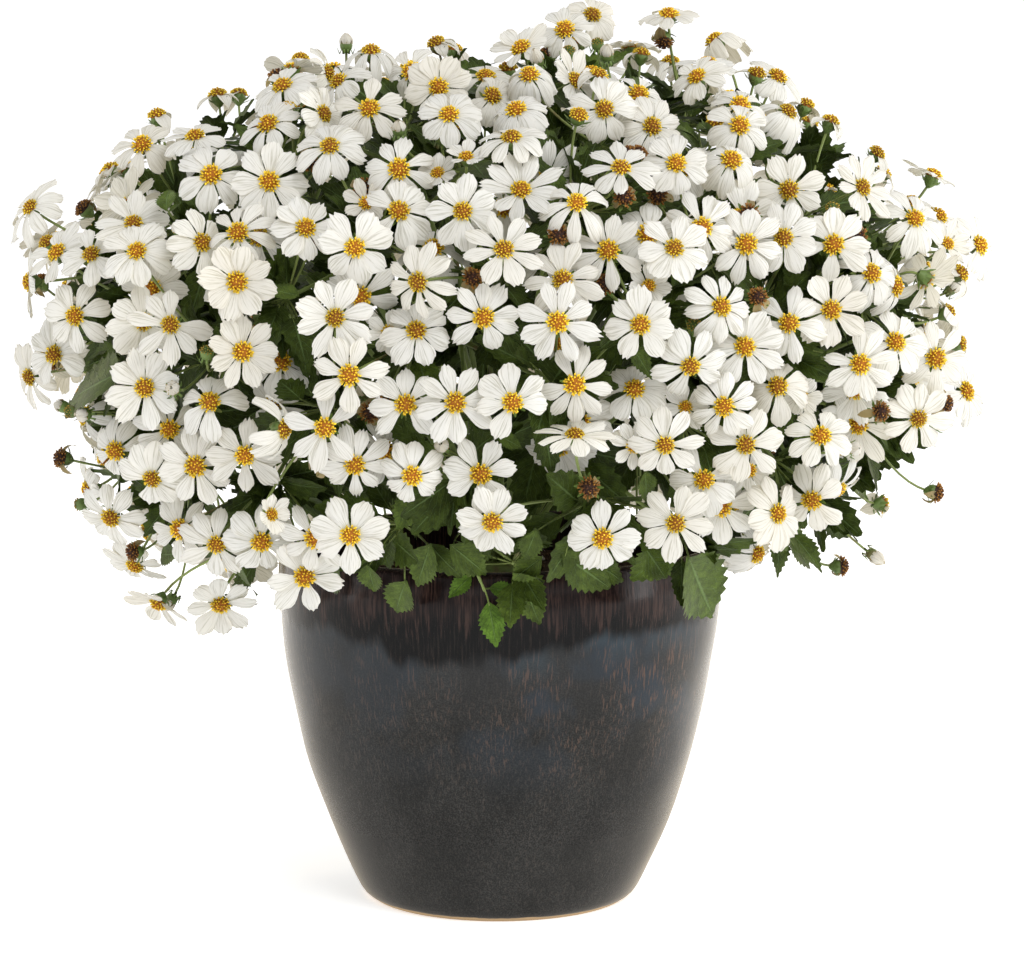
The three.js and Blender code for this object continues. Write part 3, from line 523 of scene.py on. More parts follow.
def add_petals(shape, head, key):
    """The white rays of one flower: broad, pleated, toothed at the tip, each edge over the next."""
    r = rng(key, 1)
    draw = r.uniform
    size = head["radius"] / FLOWER_RADIUS
    young = is_young(head)
    n = r.choice(RAYS) if not young else YOUNG_RAYS
    axes = across(head["normal"], draw(0, 6))
    lift, droop = HABITS[0] if young else HABITS[r.choice(len(HABITS), p=HABIT_SHARES)]
    droop = droop + TOP_DROOP * smoothstep(0.44, 0.54, head["centre"][2]) * draw(0, 1)
    full = draw(1.0, 1.14) * (1 - 0.10 * smoothstep(0.46, 0.56, head["centre"][2]))
    broad = draw(0.50, 0.66)
    cream = draw(0.93, 1.0)
    old = 0.14 * max(0, draw(-2, 1))
    for i in range(n):
        turn = 2 * pi * (i + draw(-0.17, 0.17)) / n
        if draw() < FALLEN:
            continue
        length = head["radius"] * full * draw(0.88, 1.04) - PETAL_START * size
        width = 2 * pi * broad * head["radius"] / n * draw(0.95, 1.35)
        width = min(width, WIDEST_RAY * size) * (1 - 0.22 * droop)
        u, v = PETAL_U[:, None], PETAL_V[None]
        widest, blunt = draw(0.55, 0.72), draw(0.5, 0.72)
        spread = 0.34 + 0.66 * smoothstep(0, widest, u)
        spread = spread * np.sqrt(1 - blunt * np.clip((u - widest) / (1 - widest), 0, 1) ** 2.6)
        teeth = PETAL_TEETH * draw(0.1, 1.5, 7) * draw(0.03, 0.085)
        reach = length * (u - 0.10 * u**3 * np.abs(v) ** 2.4 + teeth * smoothstep(0.8, 1, u))
        sideways = width / 2 * spread * v + length * 0.04 * draw(-1, 1) * u**2
        tilt = lift + draw(-0.07, 0.07)
        fall = droop + draw(-0.12, 0.12)
        rise = PETAL_RISE * size + length * (tilt * u - fall * u**2)
        deep = PLEAT * np.sin(pi * np.clip(u * 1.05, 0, 1)) * draw(0.4, 1.2)
        rise = rise - deep * PETAL_PLEAT
        rise = rise + sideways * tan(radians(draw(3, 9)))
        rise = rise - draw(-0.10, 0.22) * width * v**2 * u
        reach = PETAL_START * size + reach * (1 - 0.28 * fall * u)
        tint = [cream * draw(0.96, 1.0), old + draw(0, 0.06), draw(0, 1)]
        add_ray(shape, head, axes, turn, u, v, reach, sideways, rise, tint)


# The last rays of a head, papery on a spent one and still white on a golden one
WITHERED = dict(
    count=(2, 6), length=(0.007, 0.013), bend=(1.4, 3.2), wide=0.0026, bright=(0.55, 0.8), age=1.0)
HANGING = dict(
    count=(1, 5), length=(0.012, 0.018), bend=(0.9, 2.0), wide=0.0046, bright=(0.92, 1), age=0.12)


def add_last_rays(shape, head, key, kind):
    """The curled rays that stay on an old head."""
    r = rng(key, 2)
    draw = r.uniform
    axes = across(head["normal"], draw(0, 6))
    for turn in draw(0, 2 * pi, r.integers(*kind["count"])):
        u, v = np.linspace(0, 1, 6)[:, None], np.linspace(-1, 1, 4)[None]
        length, bend = draw(*kind["length"]), draw(*kind["bend"])
        reach = DISC_RADIUS * 0.6 + length * np.sin(bend * u) / bend
        fall = -length * (1 - np.cos(bend * u)) / bend + 0.0012 * v**2
        wide = kind["wide"] * np.sin(pi * (0.15 + 0.8 * u)) * v
        tint = [draw(*kind["bright"]), kind["age"], draw(0, 1)]
        add_ray(shape, head, axes, turn, u, v, reach, wide, fall, tint)


def add_opening(shape, head, key):
    """The pale rays of an opening bud, upright and rolled."""
    draw = rng(key, 15).uniform
    axes = across(head["normal"], draw(0, 6))
    tall = draw(0.0045, 0.0095)
    for i in range(OPENING_RAYS):
        turn = 2 * pi * (i + draw(-0.2, 0.2)) / OPENING_RAYS
        u, v = np.linspace(0, 1, 5)[:, None], np.linspace(-1, 1, 3)[None]
        length = tall * draw(0.8, 1.1)
        inward = draw(0.0024, 0.0037) * u**2
        reach = 0.0043 + length * 0.35 * (u - u**2) - inward - 0.0006 * v**2
        wide = 0.0019 * np.sin(pi * (0.2 + 0.7 * u)) * v
        tint = [draw(0.90, 1.0), draw(0.12, 0.40), draw(0, 1)]
        add_ray(shape, head, axes, turn, u, v, reach, wide, length * u, tint)


def add_stalk(shape, head, key, depth, radius):
    knee = head["centre"] - head["normal"] * KNEE
    t = np.linspace(0, 1 - depth / (2 * KNEE), 9)
    path = bezier([head["start"], knee, head["centre"]], t)
    radii = radius * np.linspace(1.0, 1.15, len(t))
    tube(shape, path, radii, 5, jitter(STALK_GREEN, rng(key, 3), 0.25))


# Leaves

LEAF_ROWS, FRONT_LEAF_ROWS = 13, 21
LEAF_V = np.array([-1, -0.5, 0, 0.5, 1])
# Blades at the plant's two sides that stand edge-on to the light in front turn toward it
FRONT_LIGHT = np.array([0.0, -0.93, 0.37])
SIDE_DEPTH, EDGE_ON = 0.07, 0.35
# The leaves read from the frame take the same green made half as bright again: a painted lit copy
# of the leaf green
LEAF_GREEN_PAINTED_LIGHT = LEAF_GREEN_PAINTED_SHADE * 1.5


def add_leaf(shape, leaf, rows, key, tone):
    """A toothed blade folded along its midrib, on a petiole from its joint."""
    r = rng(key, 4)
    s = np.linspace(0, 1, rows)[:, None]
    v = LEAF_V[None]
    before = np.sin(pi / 2 * np.clip(s / LEAF_WIDEST, 0, 1)) ** 0.85
    after = np.cos(pi / 2 * np.clip((s - LEAF_WIDEST) / (1 - LEAF_WIDEST), 0, 1)) ** 1.05
    tooth = (np.arange(rows) % 2)[:, None] * (s < 0.97)
    out = before * after * (0.84 + 0.20 * tooth)
    forward = 0.60 / rows * tooth * np.abs(v) ** 3 - 0.05 * np.abs(v) * (1 - s)
    wide = leaf["width"] / 2 * out * v
    along = leaf["length"] * (s + forward)
    fold, droop, twist = r.uniform(0.10, 0.42), r.uniform(-0.04, 0.22), r.uniform(-0.25, 0.25)
    rise = np.abs(wide) * fold - leaf["length"] * droop * s**2 + wide * twist * s
    rise = rise + leaf["length"] * 0.018 * np.sin(9 * s + r.uniform(0, 6)) * v * np.abs(v)
    side = np.cross(leaf["face"], leaf["along"])
    points = leaf["foot"] + along[..., None] * leaf["along"] + wide[..., None] * side
    points = points + rise[..., None] * leaf["face"]
    tint = jitter(tone, r, 0.22)
    shape.add(points, [grid_faces(rows, 5)], grid_pattern(rows, 5), tint)
    knee = (leaf["joint"] + leaf["foot"]) / 2 - 0.15 * leaf["along"] * leaf["length"]
    path = bezier([leaf["joint"], knee, points[1, 2]], np.linspace(0, 1, 6))
    tube(shape, path, np.linspace(0.0009, 0.0006, 6), 3, jitter(STALK_GREEN, r, 0.2))


def turned(leaf, toward):
    """The leaf with its blade turned about its midrib, half toward a direction."""
    out = toward - leaf["along"] * (toward @ leaf["along"])
    return {**leaf, "face": unit(leaf["face"] + unit(out))}


# Small heads and more leaves that grow from the joints of the shoots

SPENT, BUD, BARE = 0, 1, 2
# The viewer's side, where the sight line to each head cuts the upright plane through the pot's
# axis: [x mm, z mm, turn, lift, mm behind the mound's face]
SPENT_HEADS = [
    [-118, 427, 10, 30, 6], [-16, 401, 10, 20, 4], [-72, 320, 0, -10, 10], [-82, 315, 0, 0, 16],
    [-86, 459, 0, 10, 12], [-121, 476, 10, 0, 8], [-113, 282, 0, 20, 16], [105, 553, 0, -60, 4],
    [83, 480, 0, 45, 6], [89, 480, 20, 45, 6], [81, 453, 0, 20, 8], [102, 454, 0, 20, 8],
    [39, 429, 0, 15, 8], [68, 397, 0, 10, 12], [59, 266, 0, 0, 10], [160, 442, 0, 10, 8],
    [230, 428, 0, 10, 8], [249, 359, 20, 10, 6], [167, 389, 0, 20, 12], [246, 315, 20, 10, 6],
]
BUDS = [
    [-204, 433, -20, 45, 0], [-187, 354, 5, 60, 0], [-209, 330, -10, 20, 4],
    [63, 551, 0, 70, 0], [69, 544, 0, 65, 0], [45, 546, 20, 60, 0], [25, 540, -30, 60, 4],
    [50, 537, 0, 45, 8], [-63, 497, 0, 60, 4], [-36, 492, 0, 60, 4], [-36, 293, 0, 20, 0],
    [214, 446, -10, 60, 0], [230, 291, 30, 10, 0], [126, 371, 0, 30, 0], [146, 375, 10, 30, 0],
    [-276, 315, -60, 0, 0], [-267, 313, -40, 0, 0],
]
SIGHT_STEP = 0.004


def seen_point(x, z, behind):
    """The first point in the mound on a sight line, or its nearest point to the mound."""
    depths = np.arange(-MOUND_ABOVE[1], 1e-9, SIGHT_STEP)
    levels = mound_level(on_sight_line(x, z, depths))
    best = np.argmax(levels <= 1) if levels.min() <= 1 else np.argmin(levels)
    return on_sight_line(x, z, depths[best] + behind)


def facing(turn, lift):
    t, l = radians(turn), radians(lift)
    return np.array([sin(t) * cos(l), -cos(t) * cos(l), sin(l)])


shoot_heads, shoot_leaves = [], []
trail = np.array([on_sight_line(*row) for row in TRAIL])
joints = np.vstack([twigs, forks, trail])
trail_twig = nearest(twigs, trail[0])
joint_shoot = [*twig_fork, *range(SHOOTS)]
for i in range(SHOOTS):
    points, links = welded("flowering_shoot_%02d" % (i + 1))
    shoot_heads.append(read_heads(points, links))
    shoot_leaves.append(read_leaves(points, links))
    for head in shoot_heads[i]:
        head["start"] = joints[nearest(joints, head["start"])]
    for leaf in shoot_leaves[i]:
        leaf["joint"] = joints[nearest(joints, leaf["foot"])]

head_centres, head_normals, head_radii = [
    np.array([head[name] for head in sum(shoot_heads, [])])
    for name in ("centre", "normal", "radius")]


def clear_of_heads(points, height, margin):
    """True if no point lies within height of a flower's face and margin of its rim."""
    offset = np.asarray(points)[:, None] - head_centres
    above = np.sum(offset * head_normals, axis=-1)
    out = np.sqrt(np.maximum(0, np.sum(offset**2, axis=-1) - above**2))
    return not np.any((np.abs(above) < height) & (out < head_radii + margin))


SMALL_RADIUS = 0.006
SMALL_FILL, FILL_LOWEST = 150, -0.75
small_heads = []


def place_small(kind, centre_at, normal, key):
    """A small head at the first free one of several places, further in each time."""
    for shift in np.arange(0, 0.045, 0.004):
        centre = centre_at(shift)
        around = [centre, *(centre + SMALL_RADIUS * SIX_WAYS)]
        apart = [norm(centre - other["centre"]) for other in small_heads]
        if clear_of_heads(around, 0.003, 0.001) and min(apart, default=1) > 3 * SMALL_RADIUS:
            knot = nearest(twigs, centre - normal * KNEE)
            small_heads.append(dict(
                kind=kind, centre=centre, normal=normal, start=twigs[knot], shoot=twig_fork[knot],
                key=key))
            return


for kind, rows in ((SPENT, SPENT_HEADS), (BUD, BUDS)):
    for k, (x, z, turn, lift, behind) in enumerate(rows):
        place_small(
            kind, lambda shift: seen_point(x * MM, z * MM, behind * MM + shift),
            facing(turn, lift), k)
for k in range(SMALL_FILL):
    direction = lattice_direction(k, SMALL_FILL, FILL_LOWEST)
    surface = mound_point(direction, rng(k, 5).uniform(0.97, 1.03))
    if surface[1] > -0.10 or surface[2] > 0.50:
        normal = unit(mound_normal(surface) + 0.5 * UP + rng(k, 6).uniform(-0.4, 0.4, 3))
        kind = BARE if surface[2] > 0.46 and k % 4 else k % 3
        place_small(kind, lambda shift: surface - shift * mound_normal(surface), normal, 100 + k)

# More leaves: how many are tried at a joint, how low they reach, and how they clear the pot's rim
LEAF_TRIES, BACK_LEAF_TRIES = 19, 30
LEAF_FLOOR, LEAF_FLOOR_BEHIND = 0.236, 0.212
RIM_CLEAR, RIM_REACH = 0.240, 0.150
LEAF_PLACES = [[0, 0], [0.3, 0.35], [0.3, -0.35], [0.6, 0.4], [0.6, -0.4], [0.85, 0], [1, 0]]
extra_leaves = [[] for _ in range(SHOOTS)]
for j, joint in enumerate(joints[:TWIGS + SHOOTS]):
    outward = mound_normal(joint) if j < TWIGS else unit(joint - STEM_FOCUS)
    low_back = joint[1] > 0.02 and joint[2] < 0.36
    lowest = LEAF_FLOOR_BEHIND if low_back and abs(joint[0]) < 0.12 else LEAF_FLOOR
    for k in range(BACK_LEAF_TRIES if low_back else LEAF_TRIES):
        draw = rng(j, k, 7).uniform
        way = unit(outward + draw(-1.25, 1.25, 3))
        length = draw(0.026, 0.042)
        foot = joint + way * draw(0.006, 0.028)
        along = unit(way + draw(-0.5, 0.5, 3))
        rising = smoothstep(0.28, 0.42, joint[2]) * 0.7 + 0.1
        side = unit(np.cross(outward + UP * rising + draw(-0.7, 0.7, 3), along))
        face = np.cross(along, side)
        width = length * draw(0.52, 0.68)
        places = np.array([foot + along * length * s + side * width * v for s, v in LEAF_PLACES])
        out_from_axis = np.hypot(places[:, 0], places[:, 1])
        over_rim = (places[:, 2] > RIM_CLEAR) | (out_from_axis > RIM_REACH)
        inside = mound_level(places[-1]) < 0.97 and places[:, 2].min() > lowest
        if inside and over_rim.all() and clear_of_heads(places, 0.0028, 0):
            extra_leaves[joint_shoot[j]].append(dict(
                foot=foot, along=along, face=face, length=length, width=width, joint=joint))


# Materials


class Look:
    """A node material: its Principled shader and the nodes that feed it."""

    def __init__(self, name, **constants):
        self.material = bpy.data.materials.new(name)
        self.material.use_nodes = True
        self.tree = self.material.node_tree
        self.shader = self.tree.nodes["Principled BSDF"]
        for socket, value in constants.items():
            self.feed(self.shader.inputs[socket.replace("_", " ")], value)

    def node(self, kind, inputs=(), **settings):
        made = self.tree.nodes.new("ShaderNode" + kind)
        for name, value in settings.items():
            setattr(made, name, value)
        for name, value in dict(inputs).items():
            self.feed(made.inputs[name], value)
        return made

    def feed(self, socket, value):
        """Links the output of a node to a socket, or sets a number or a colour there."""
        if isinstance(value, bpy.types.NodeSocket):
            self.tree.links.new(value, socket)
        else:
            socket.default_value = (*value, 1.0) if isinstance(value, tuple) else value

    def math(self, operation, *values):
        return self.node("Math", enumerate(values), operation=operation).outputs[0]

    def times(self, a, b):
        return self.math("MULTIPLY", a, b)

    def apart(self, a, b):
        return self.math("ABSOLUTE", self.math("SUBTRACT", a, b))

    def moved(self, value, noise, amount):
        """value with noise about it: half the amount to either side at most."""
        return self.math("MULTIPLY_ADD", self.math("SUBTRACT", noise, 0.5), amount, value)

    def vector(self, x, y, z):
        return self.node("CombineXYZ", {"X": x, "Y": y, "Z": z}).outputs[0]

    def split(self, vector):
        return self.node("SeparateXYZ", {"Vector": vector}).outputs

    def noise(self, vector, scale, detail=2.0, roughness=0.5):
        inputs = {"Vector": vector, "Scale": scale, "Detail": detail, "Roughness": roughness}
        return self.node("TexNoise", inputs).outputs["Fac"]

    def ramp(self, value, low, high, start=0.0, end=1.0):
        """start to end as value goes from low to high, smoothly."""
        inputs = {"Value": value, "From Min": low, "From Max": high, "To Min": start, "To Max": end}
        return self.node("MapRange", inputs, interpolation_type="SMOOTHSTEP").outputs["Result"]

    def mix(self, a, b, factor, blend="MIX"):
        inputs = [(0, factor), (6, a), (7, b)]
        return self.node("Mix", inputs, data_type="RGBA", blend_type=blend).outputs[2]

    def shade(self, colour, by):
        return self.mix(colour, by, 1.0, "MULTIPLY")

    def tint(self):
        return self.node("Attribute", attribute_name="tint").outputs["Color"]

    def pattern(self):
        return self.split(self.node("UVMap", uv_map="pattern").outputs[0])

    def place(self):
        return self.node("TexCoord").outputs["Object"]

    def colour(self, value):
        self.feed(self.shader.inputs["Base Color"], value)

    def bump(self, height, distance, strength=1.0):
        bump = self.node("Bump", {"Height": height, "Distance": distance, "Strength": strength})
        self.feed(self.shader.inputs["Normal"], bump.outputs[0])


def petal_material():
    look = Look("bidens_petal", Roughness=0.62, Specular_IOR_Level=0.25, Sheen_Weight=0.15)
    u, v, _ = look.pattern()
    bright, age, seed = look.split(look.tint())
    shift = look.times(seed, 37.0)
    over, along = [look.math("MULTIPLY_ADD", *pair, shift) for pair in ((u, 13.0), (v, 0.9))]
    vein = look.noise(look.vector(over, along, 0.0), 1.0, 3.0, 0.62)
    white = look.mix((0.56, 0.545, 0.47), (0.87, 0.865, 0.835), look.ramp(vein, 0.30, 0.54))
    white = look.mix(white, (0.66, 0.66, 0.40), look.ramp(v, 0.22, 0.0, 0.0, 0.45))
    colour = look.shade(look.mix(white, (0.50, 0.39, 0.18), age), bright)
    look.colour(colour)
    look.bump(vein, 0.00035, 0.55)
    through = look.node("BsdfTranslucent", {"Color": look.shade(colour, (1.0, 0.93, 0.74))})
    both = look.node("MixShader", [(0, 0.30), (1, look.shader.outputs[0]), (2, through.outputs[0])])
    look.feed(look.tree.nodes["Material Output"].inputs["Surface"], both.outputs[0])
    return look.material


def disc_material():
    look = Look("bidens_disc", Roughness=0.7, Specular_IOR_Level=0.3)
    grain = look.noise(look.place(), 1500.0)
    look.colour(look.shade(look.tint(), look.ramp(grain, 0.3, 0.7, 0.62, 1.25)))
    look.bump(grain, 0.0003, 0.6)
    return look.material


def leaf_material():
    """Mottled green with a pale midrib and seven pairs of side veins."""
    look = Look("bidens_leaf", Roughness=0.5, Specular_IOR_Level=0.12)
    u, v, _ = look.pattern()
    off = look.apart(u, 0.5)
    phase = look.times(look.math("MULTIPLY_ADD", off, -0.75, v), 7.0)
    side = look.ramp(look.apart(look.math("FRACT", phase), 0.5), 0.075, 0.015, 0.0, 0.75)
    veins = look.math("MAXIMUM", look.ramp(off, 0.045, 0.010), side)
    mottle = look.noise(look.place(), 160.0, 4.0, 0.6)
    net = look.noise(look.place(), 900.0)
    green = look.shade(look.tint(), look.ramp(mottle, 0.3, 0.72, 0.65, 1.35))
    green = look.shade(green, look.ramp(net, 0.3, 0.7, 0.82, 1.15))
    look.colour(look.mix(green, (0.15, 0.23, 0.080), look.times(veins, 0.45)))
    look.bump(look.math("MULTIPLY_ADD", net, 0.4, look.times(veins, -1.0)), 0.0007, 0.9)
    return look.material


def stem_material():
    look = Look("bidens_stem", Roughness=0.5, Specular_IOR_Level=0.35)
    u, v, _ = look.pattern()
    streak = look.noise(look.vector(look.times(u, 9.0), v, 0.0), 3.0)
    blotch = look.noise(look.place(), 60.0, 3.0)
    green = look.shade(look.tint(), look.ramp(streak, 0.3, 0.7, 0.75, 1.3))
    look.colour(look.mix(green, (0.13, 0.055, 0.035), look.ramp(blotch, 0.56, 0.72, 0.0, 0.65)))
    look.bump(streak, 0.0003, 0.5)
    return look.material


def soil_material():
    look = Look("potting_soil", Roughness=0.95, Specular_IOR_Level=0.15)
    coarse = look.noise(look.place(), 240.0, 5.0, 0.7)
    look.colour(look.shade(look.tint(), look.ramp(coarse, 0.3, 0.7, 0.45, 1.7)))
    look.bump(coarse, 0.002, 0.8)
    return look.material


# Heights of the glaze's zones, low and high end of each change
UPPER_BODY = 0.07, 0.17
BLACK_RUN, RUN_HALO = (0.184, 0.194), (0.166, 0.187)
BROWN_RIM = 0.194, 0.209
BARE_FOOT = 0.0031, 0.0024


def glaze_material():
    """Grey-black glaze with blue clouds and rust streaks, under a black run and a brown rim."""
    look = Look(
        "pot_glaze", Sheen_Weight=0.35, Sheen_Roughness=0.3, Sheen_Tint=(1.0, 0.78, 0.47),
        Specular_IOR_Level=0.13)
    mix, ramp, times, noise = look.mix, look.ramp, look.times, look.noise
    place = look.place()
    x, y, z = look.split(place)

    def drawn(share, scale, detail):
        """Noise drawn out down the pot, the longer the smaller the share of the height."""
        return noise(look.vector(x, y, times(z, share)), scale, detail, 0.6)

    streak, patch = drawn(0.040, 800.0, 3.0), drawn(0.5, 34.0, 2.0)
    drip, fringe = drawn(0.3, 36.0, 3.0), drawn(0.1, 190.0, 3.0)
    cloud, speckle = noise(place, 15.0, 4.0, 0.6), noise(place, 1100.0, 4.0, 0.7)

    # Body
    fine = ramp(speckle, 0.38, 0.72)
    body = mix((0.0085, 0.0084, 0.0080), (0.038, 0.0372, 0.0350), fine)
    body = mix(body, (0.046, 0.041, 0.037), ramp(streak, 0.50, 0.76, 0.0, 0.7))
    body = look.shade(body, ramp(patch, 0.30, 0.70, 0.76, 1.22))
    body = mix(body, (0.042, 0.042, 0.043), ramp(z, 0.12, 0.18, 0.0, 0.40))

    # Blue clouds, weaker on the left, and rust streaks, mostly on the right
    blue = times(ramp(z, *UPPER_BODY), ramp(x, -0.10, 0.03, 0.40, 1.0))
    blue = times(ramp(cloud, 0.42, 0.62, 0.0, 0.85), blue)
    body = mix(body, (0.024, 0.033, 0.044), blue)
    right = ramp(look.moved(x, cloud, 0.2), -0.09, 0.07, 0.25, 1.0)
    rust = times(ramp(streak, 0.525, 0.665), ramp(patch, 0.36, 0.58))
    rust = times(times(rust, right), ramp(z, *UPPER_BODY, 0.04, 0.95))
    body = mix(body, (0.110, 0.065, 0.047), rust)

    # Black run, lowest left of the middle, with a blue halo under its right part
    dip = ramp(look.apart(x, -0.026), 0.080, 0.020, 0.0, 0.014)
    run_edge = look.math("ADD", look.moved(z, drip, 0.034), dip)
    halo = times(ramp(run_edge, *RUN_HALO), ramp(x, -0.02, 0.04, 0.1, 0.6))
    halo = times(halo, ramp(patch, 0.42, 0.60, 0.15, 1.0))
    body = mix(body, (0.038, 0.055, 0.068), halo)
    run = ramp(run_edge, *BLACK_RUN)
    lit = ramp(streak, 0.48, 0.75)
    black = mix((0.0020, 0.0020, 0.0024), (0.020, 0.015, 0.013), lit)
    body = mix(body, black, run)

    # Brown streaked rim and the bare clay of the foot's edge
    brown_edge = look.moved(look.moved(z, fringe, 0.044), streak, 0.028)
    lines = times(ramp(streak, 0.40, 0.66), ramp(fringe, 0.38, 0.58, 0.35, 1.0))
    rim = mix((0.009, 0.0055, 0.0056), (0.050, 0.0285, 0.0235), lines)
    body = mix(body, rim, ramp(brown_edge, *BROWN_RIM))
    foot = ramp(look.moved(z, drip, 0.003), *BARE_FOOT)
    look.colour(mix(body, (0.40, 0.28, 0.16), foot))

    matt = ramp(run, 0.0, 1.0, ramp(z, 0.15, 0.02, 0.14, 0.30), 0.08)
    gloss = look.math("ADD", matt, ramp(speckle, 0.45, 0.75, 0.0, 0.10))
    rough = look.math("MAXIMUM", gloss, times(foot, 0.85))
    look.feed(look.shader.inputs["Roughness"], rough)
    relief = look.math("MULTIPLY_ADD", run, 1.2, times(speckle, 0.3))
    look.bump(look.math("MULTIPLY_ADD", streak, 0.4, relief), 0.0003, 0.5)
    return look.material


def floor_material():
    look = Look(
        "studio_floor", Roughness=0.9, Specular_IOR_Level=0.0, Emission_Strength=FLOOR_GLOW,
        Emission_Color=WHITE)
    grain = look.noise(look.place(), 3.0)
    look.colour(look.mix((0.90, 0.90, 0.90), (0.93, 0.93, 0.93), grain))
    return look.material


# Flowering shoots

petal_look, disc_look = petal_material(), disc_material()
leaf_look, stem_look = leaf_material(), stem_material()
yellow_disc = disc_template(30, FLORETS, DISC_HEIGHT, 0.6, FRESH_DISC)
orange_disc = disc_template(31, FLORETS, DISC_HEIGHT, 0.4, OLDER_DISC)
spent_disc = disc_template(32, FLORETS, DISC_HEIGHT * 1.1, 0.7, SPENT_DISC)
bud_disc = disc_template(33, BUD_FLORETS, DISC_HEIGHT * 0.8, 0.2, BUD_DISC)
flower_cup, bud_cup = cup_template(CUP_PROFILE, 1), cup_template(BUD_PROFILE, 3)


def stamp_heads(discs, stalks, heads, disc, cup, size, key):
    if not heads:
        return
    draw = rng(key, 8).uniform
    centres, normals = [np.array([head[name] for head in heads]) for name in ("centre", "normal")]
    n = len(heads)
    origins = centres + normals * DISC_SEAT * size
    sizes = np.full(n, size) * draw(0.94, 1.05, n)
    stamp(discs, disc, origins, normals, draw(0, 6, n), sizes, draw(0.85, 1.1, n))
    stamp(stalks, cup, centres, normals, draw(0, 6, n), sizes, draw(0.8, 1.2, n))


def add_branch(shape, start, end, radius, knot, key):
    """A twig that swells at both ends, with a knot at its far end."""
    swell = radius * (1 + 0.35 * np.cos(np.linspace(0, 2 * np.pi, 8)) ** 2)
    tint = jitter(STEM_GREEN * 1.15, rng(key, 10), 0.2)
    tube(shape, np.linspace(start, end, 8), swell, 7, tint)
    slopes = np.linspace(0.25, 2.9, 5)
    ball = lathe([(knot * sin(a), -knot * cos(a)) for a in slopes], 7) + end
    tint = jitter(STALK_GREEN, rng(key, 9), 0.2)
    shape.add(ball, [grid_faces(5, 7, True)], [0.5, 0.5], tint)


for i in range(SHOOTS):
    petals, discs, stalks, leaves = Shape(), Shape(), Shape(), Shape()
    heads = shoot_heads[i]
    for k, head in enumerate(heads):
        add_petals(petals, head, i * 100 + k)
        depth = CUP_DEPTH * (YOUNG_SIZE if is_young(head) else 1)
        add_stalk(stalks, head, i * 100 + k, depth, STALK_RADIUS)
    young, opened = [[head for head in heads if is_young(head) == y] for y in (True, False)]
    pick = rng(i, 11).uniform(0, 1, len(opened)) < YELLOW_SHARE
    yellow, orange = [[head for head, p in zip(opened, pick) if p == y] for y in (True, False)]
    spent, buds, bare = [
        [head for head in small_heads if head["shoot"] == i and head["kind"] == kind]
        for kind in (SPENT, BUD, BARE)]
    groups = [
        (yellow, yellow_disc, flower_cup, 1.0), (orange, orange_disc, flower_cup, ORANGE_SIZE),
        (young, yellow_disc, flower_cup, YOUNG_SIZE), (spent, spent_disc, flower_cup, SPENT_SIZE),
        (buds, bud_disc, bud_cup, BUD_SIZE), (bare, orange_disc, flower_cup, SPENT_SIZE)]
    for k, group in enumerate(groups):
        stamp_heads(discs, stalks, *group, 100 * k + i)
    for kind, old_heads in ((WITHERED, spent), (HANGING, bare)):
        for head in old_heads:
            add_last_rays(petals, head, 1000 + head["key"], kind)
    for head in buds:
        if head["key"] % 2 == 0:
            add_opening(petals, head, 3000 + head["key"])
    for k, head in enumerate(spent + buds + bare):
        add_stalk(stalks, head, 2000 + i * 100 + k, CUP_DEPTH * BUD_SIZE, STALK_RADIUS * 0.9)
    for k, leaf in enumerate(shoot_leaves[i]):
        # Leaves read from the frame take the painted lit copy of the green, and those low by the
        # trail take the fresh green
        tone = FRESH_GREEN if leaf["joint"][2] < trail[1][2] + MM else LEAF_GREEN_PAINTED_LIGHT
        if abs(leaf["foot"][1]) < SIDE_DEPTH and abs(leaf["face"] @ FRONT_LIGHT) < EDGE_ON:
            leaf = turned(leaf, FRONT_LIGHT)
        add_leaf(leaves, leaf, FRONT_LEAF_ROWS, i * 100 + k, tone)
    # The added leaves take the darker green, which is painted shade among the flowers
    for k, leaf in enumerate(extra_leaves[i]):
        add_leaf(leaves, leaf, LEAF_ROWS, 5000 + i * 100 + k, LEAF_GREEN_PAINTED_SHADE)
    add_branch(stalks, stems[i][-1], forks[i], STEM_TIP_RADIUS, FORK_BALL, i)
    for t in np.flatnonzero(twig_fork == i):
        add_branch(stalks, forks[i], twigs[t], TWIG_RADIUS, TWIG_BALL, 100 + t)
    if i == twig_fork[trail_twig]:
        chain = [twigs[trail_twig], *trail]
        for k, (start, end) in enumerate(zip(chain, chain[1:])):
            add_branch(stalks, start, end, TWIG_RADIUS * 0.7, TWIG_BALL * 0.6, 300 + k)
    node = "flowering_shoot_%02d" % (i + 1)
    for ending, shape, look in (
            ("_petals", petals, petal_look), ("_discs", discs, disc_look),
            ("_stalks", stalks, stem_look), ("_leaves", leaves, leaf_look)):
        shape.piece(node, ending, look, "flowering_shoot")


# Main stems, crown and soil

for i, controls in enumerate(stems):
    shape = Shape()
    t = np.linspace(0, 1, STEM_STEPS)
    path = bezier(controls, t)
    length = norm(np.diff(path, axis=0), axis=1).sum()
    swell = 1 + 0.22 * np.clip(np.cos(2 * np.pi * t * length / NODE_SPACING), 0, 1) ** 6
    radii = np.linspace(STEM_ROOT_RADIUS, STEM_TIP_RADIUS, STEM_STEPS) * swell
    tube(shape, path, radii, STEM_SIDES, jitter(STEM_GREEN, rng(i, 12), 0.25))
    shape.piece("main_stem_%02d" % (i + 1), "_round", stem_look, "green_stem")


def ripple(x, y, key, scale):
    """Smooth bumps over the plane, from -1 to 1."""
    draw = rng(key, 13).uniform
    total = 0
    for _ in range(7):
        a, b, c = draw(-1, 1), draw(-1, 1), draw(0, 6)
        total = total + np.sin((a * x + b * y) * scale + c)
    return total / 7


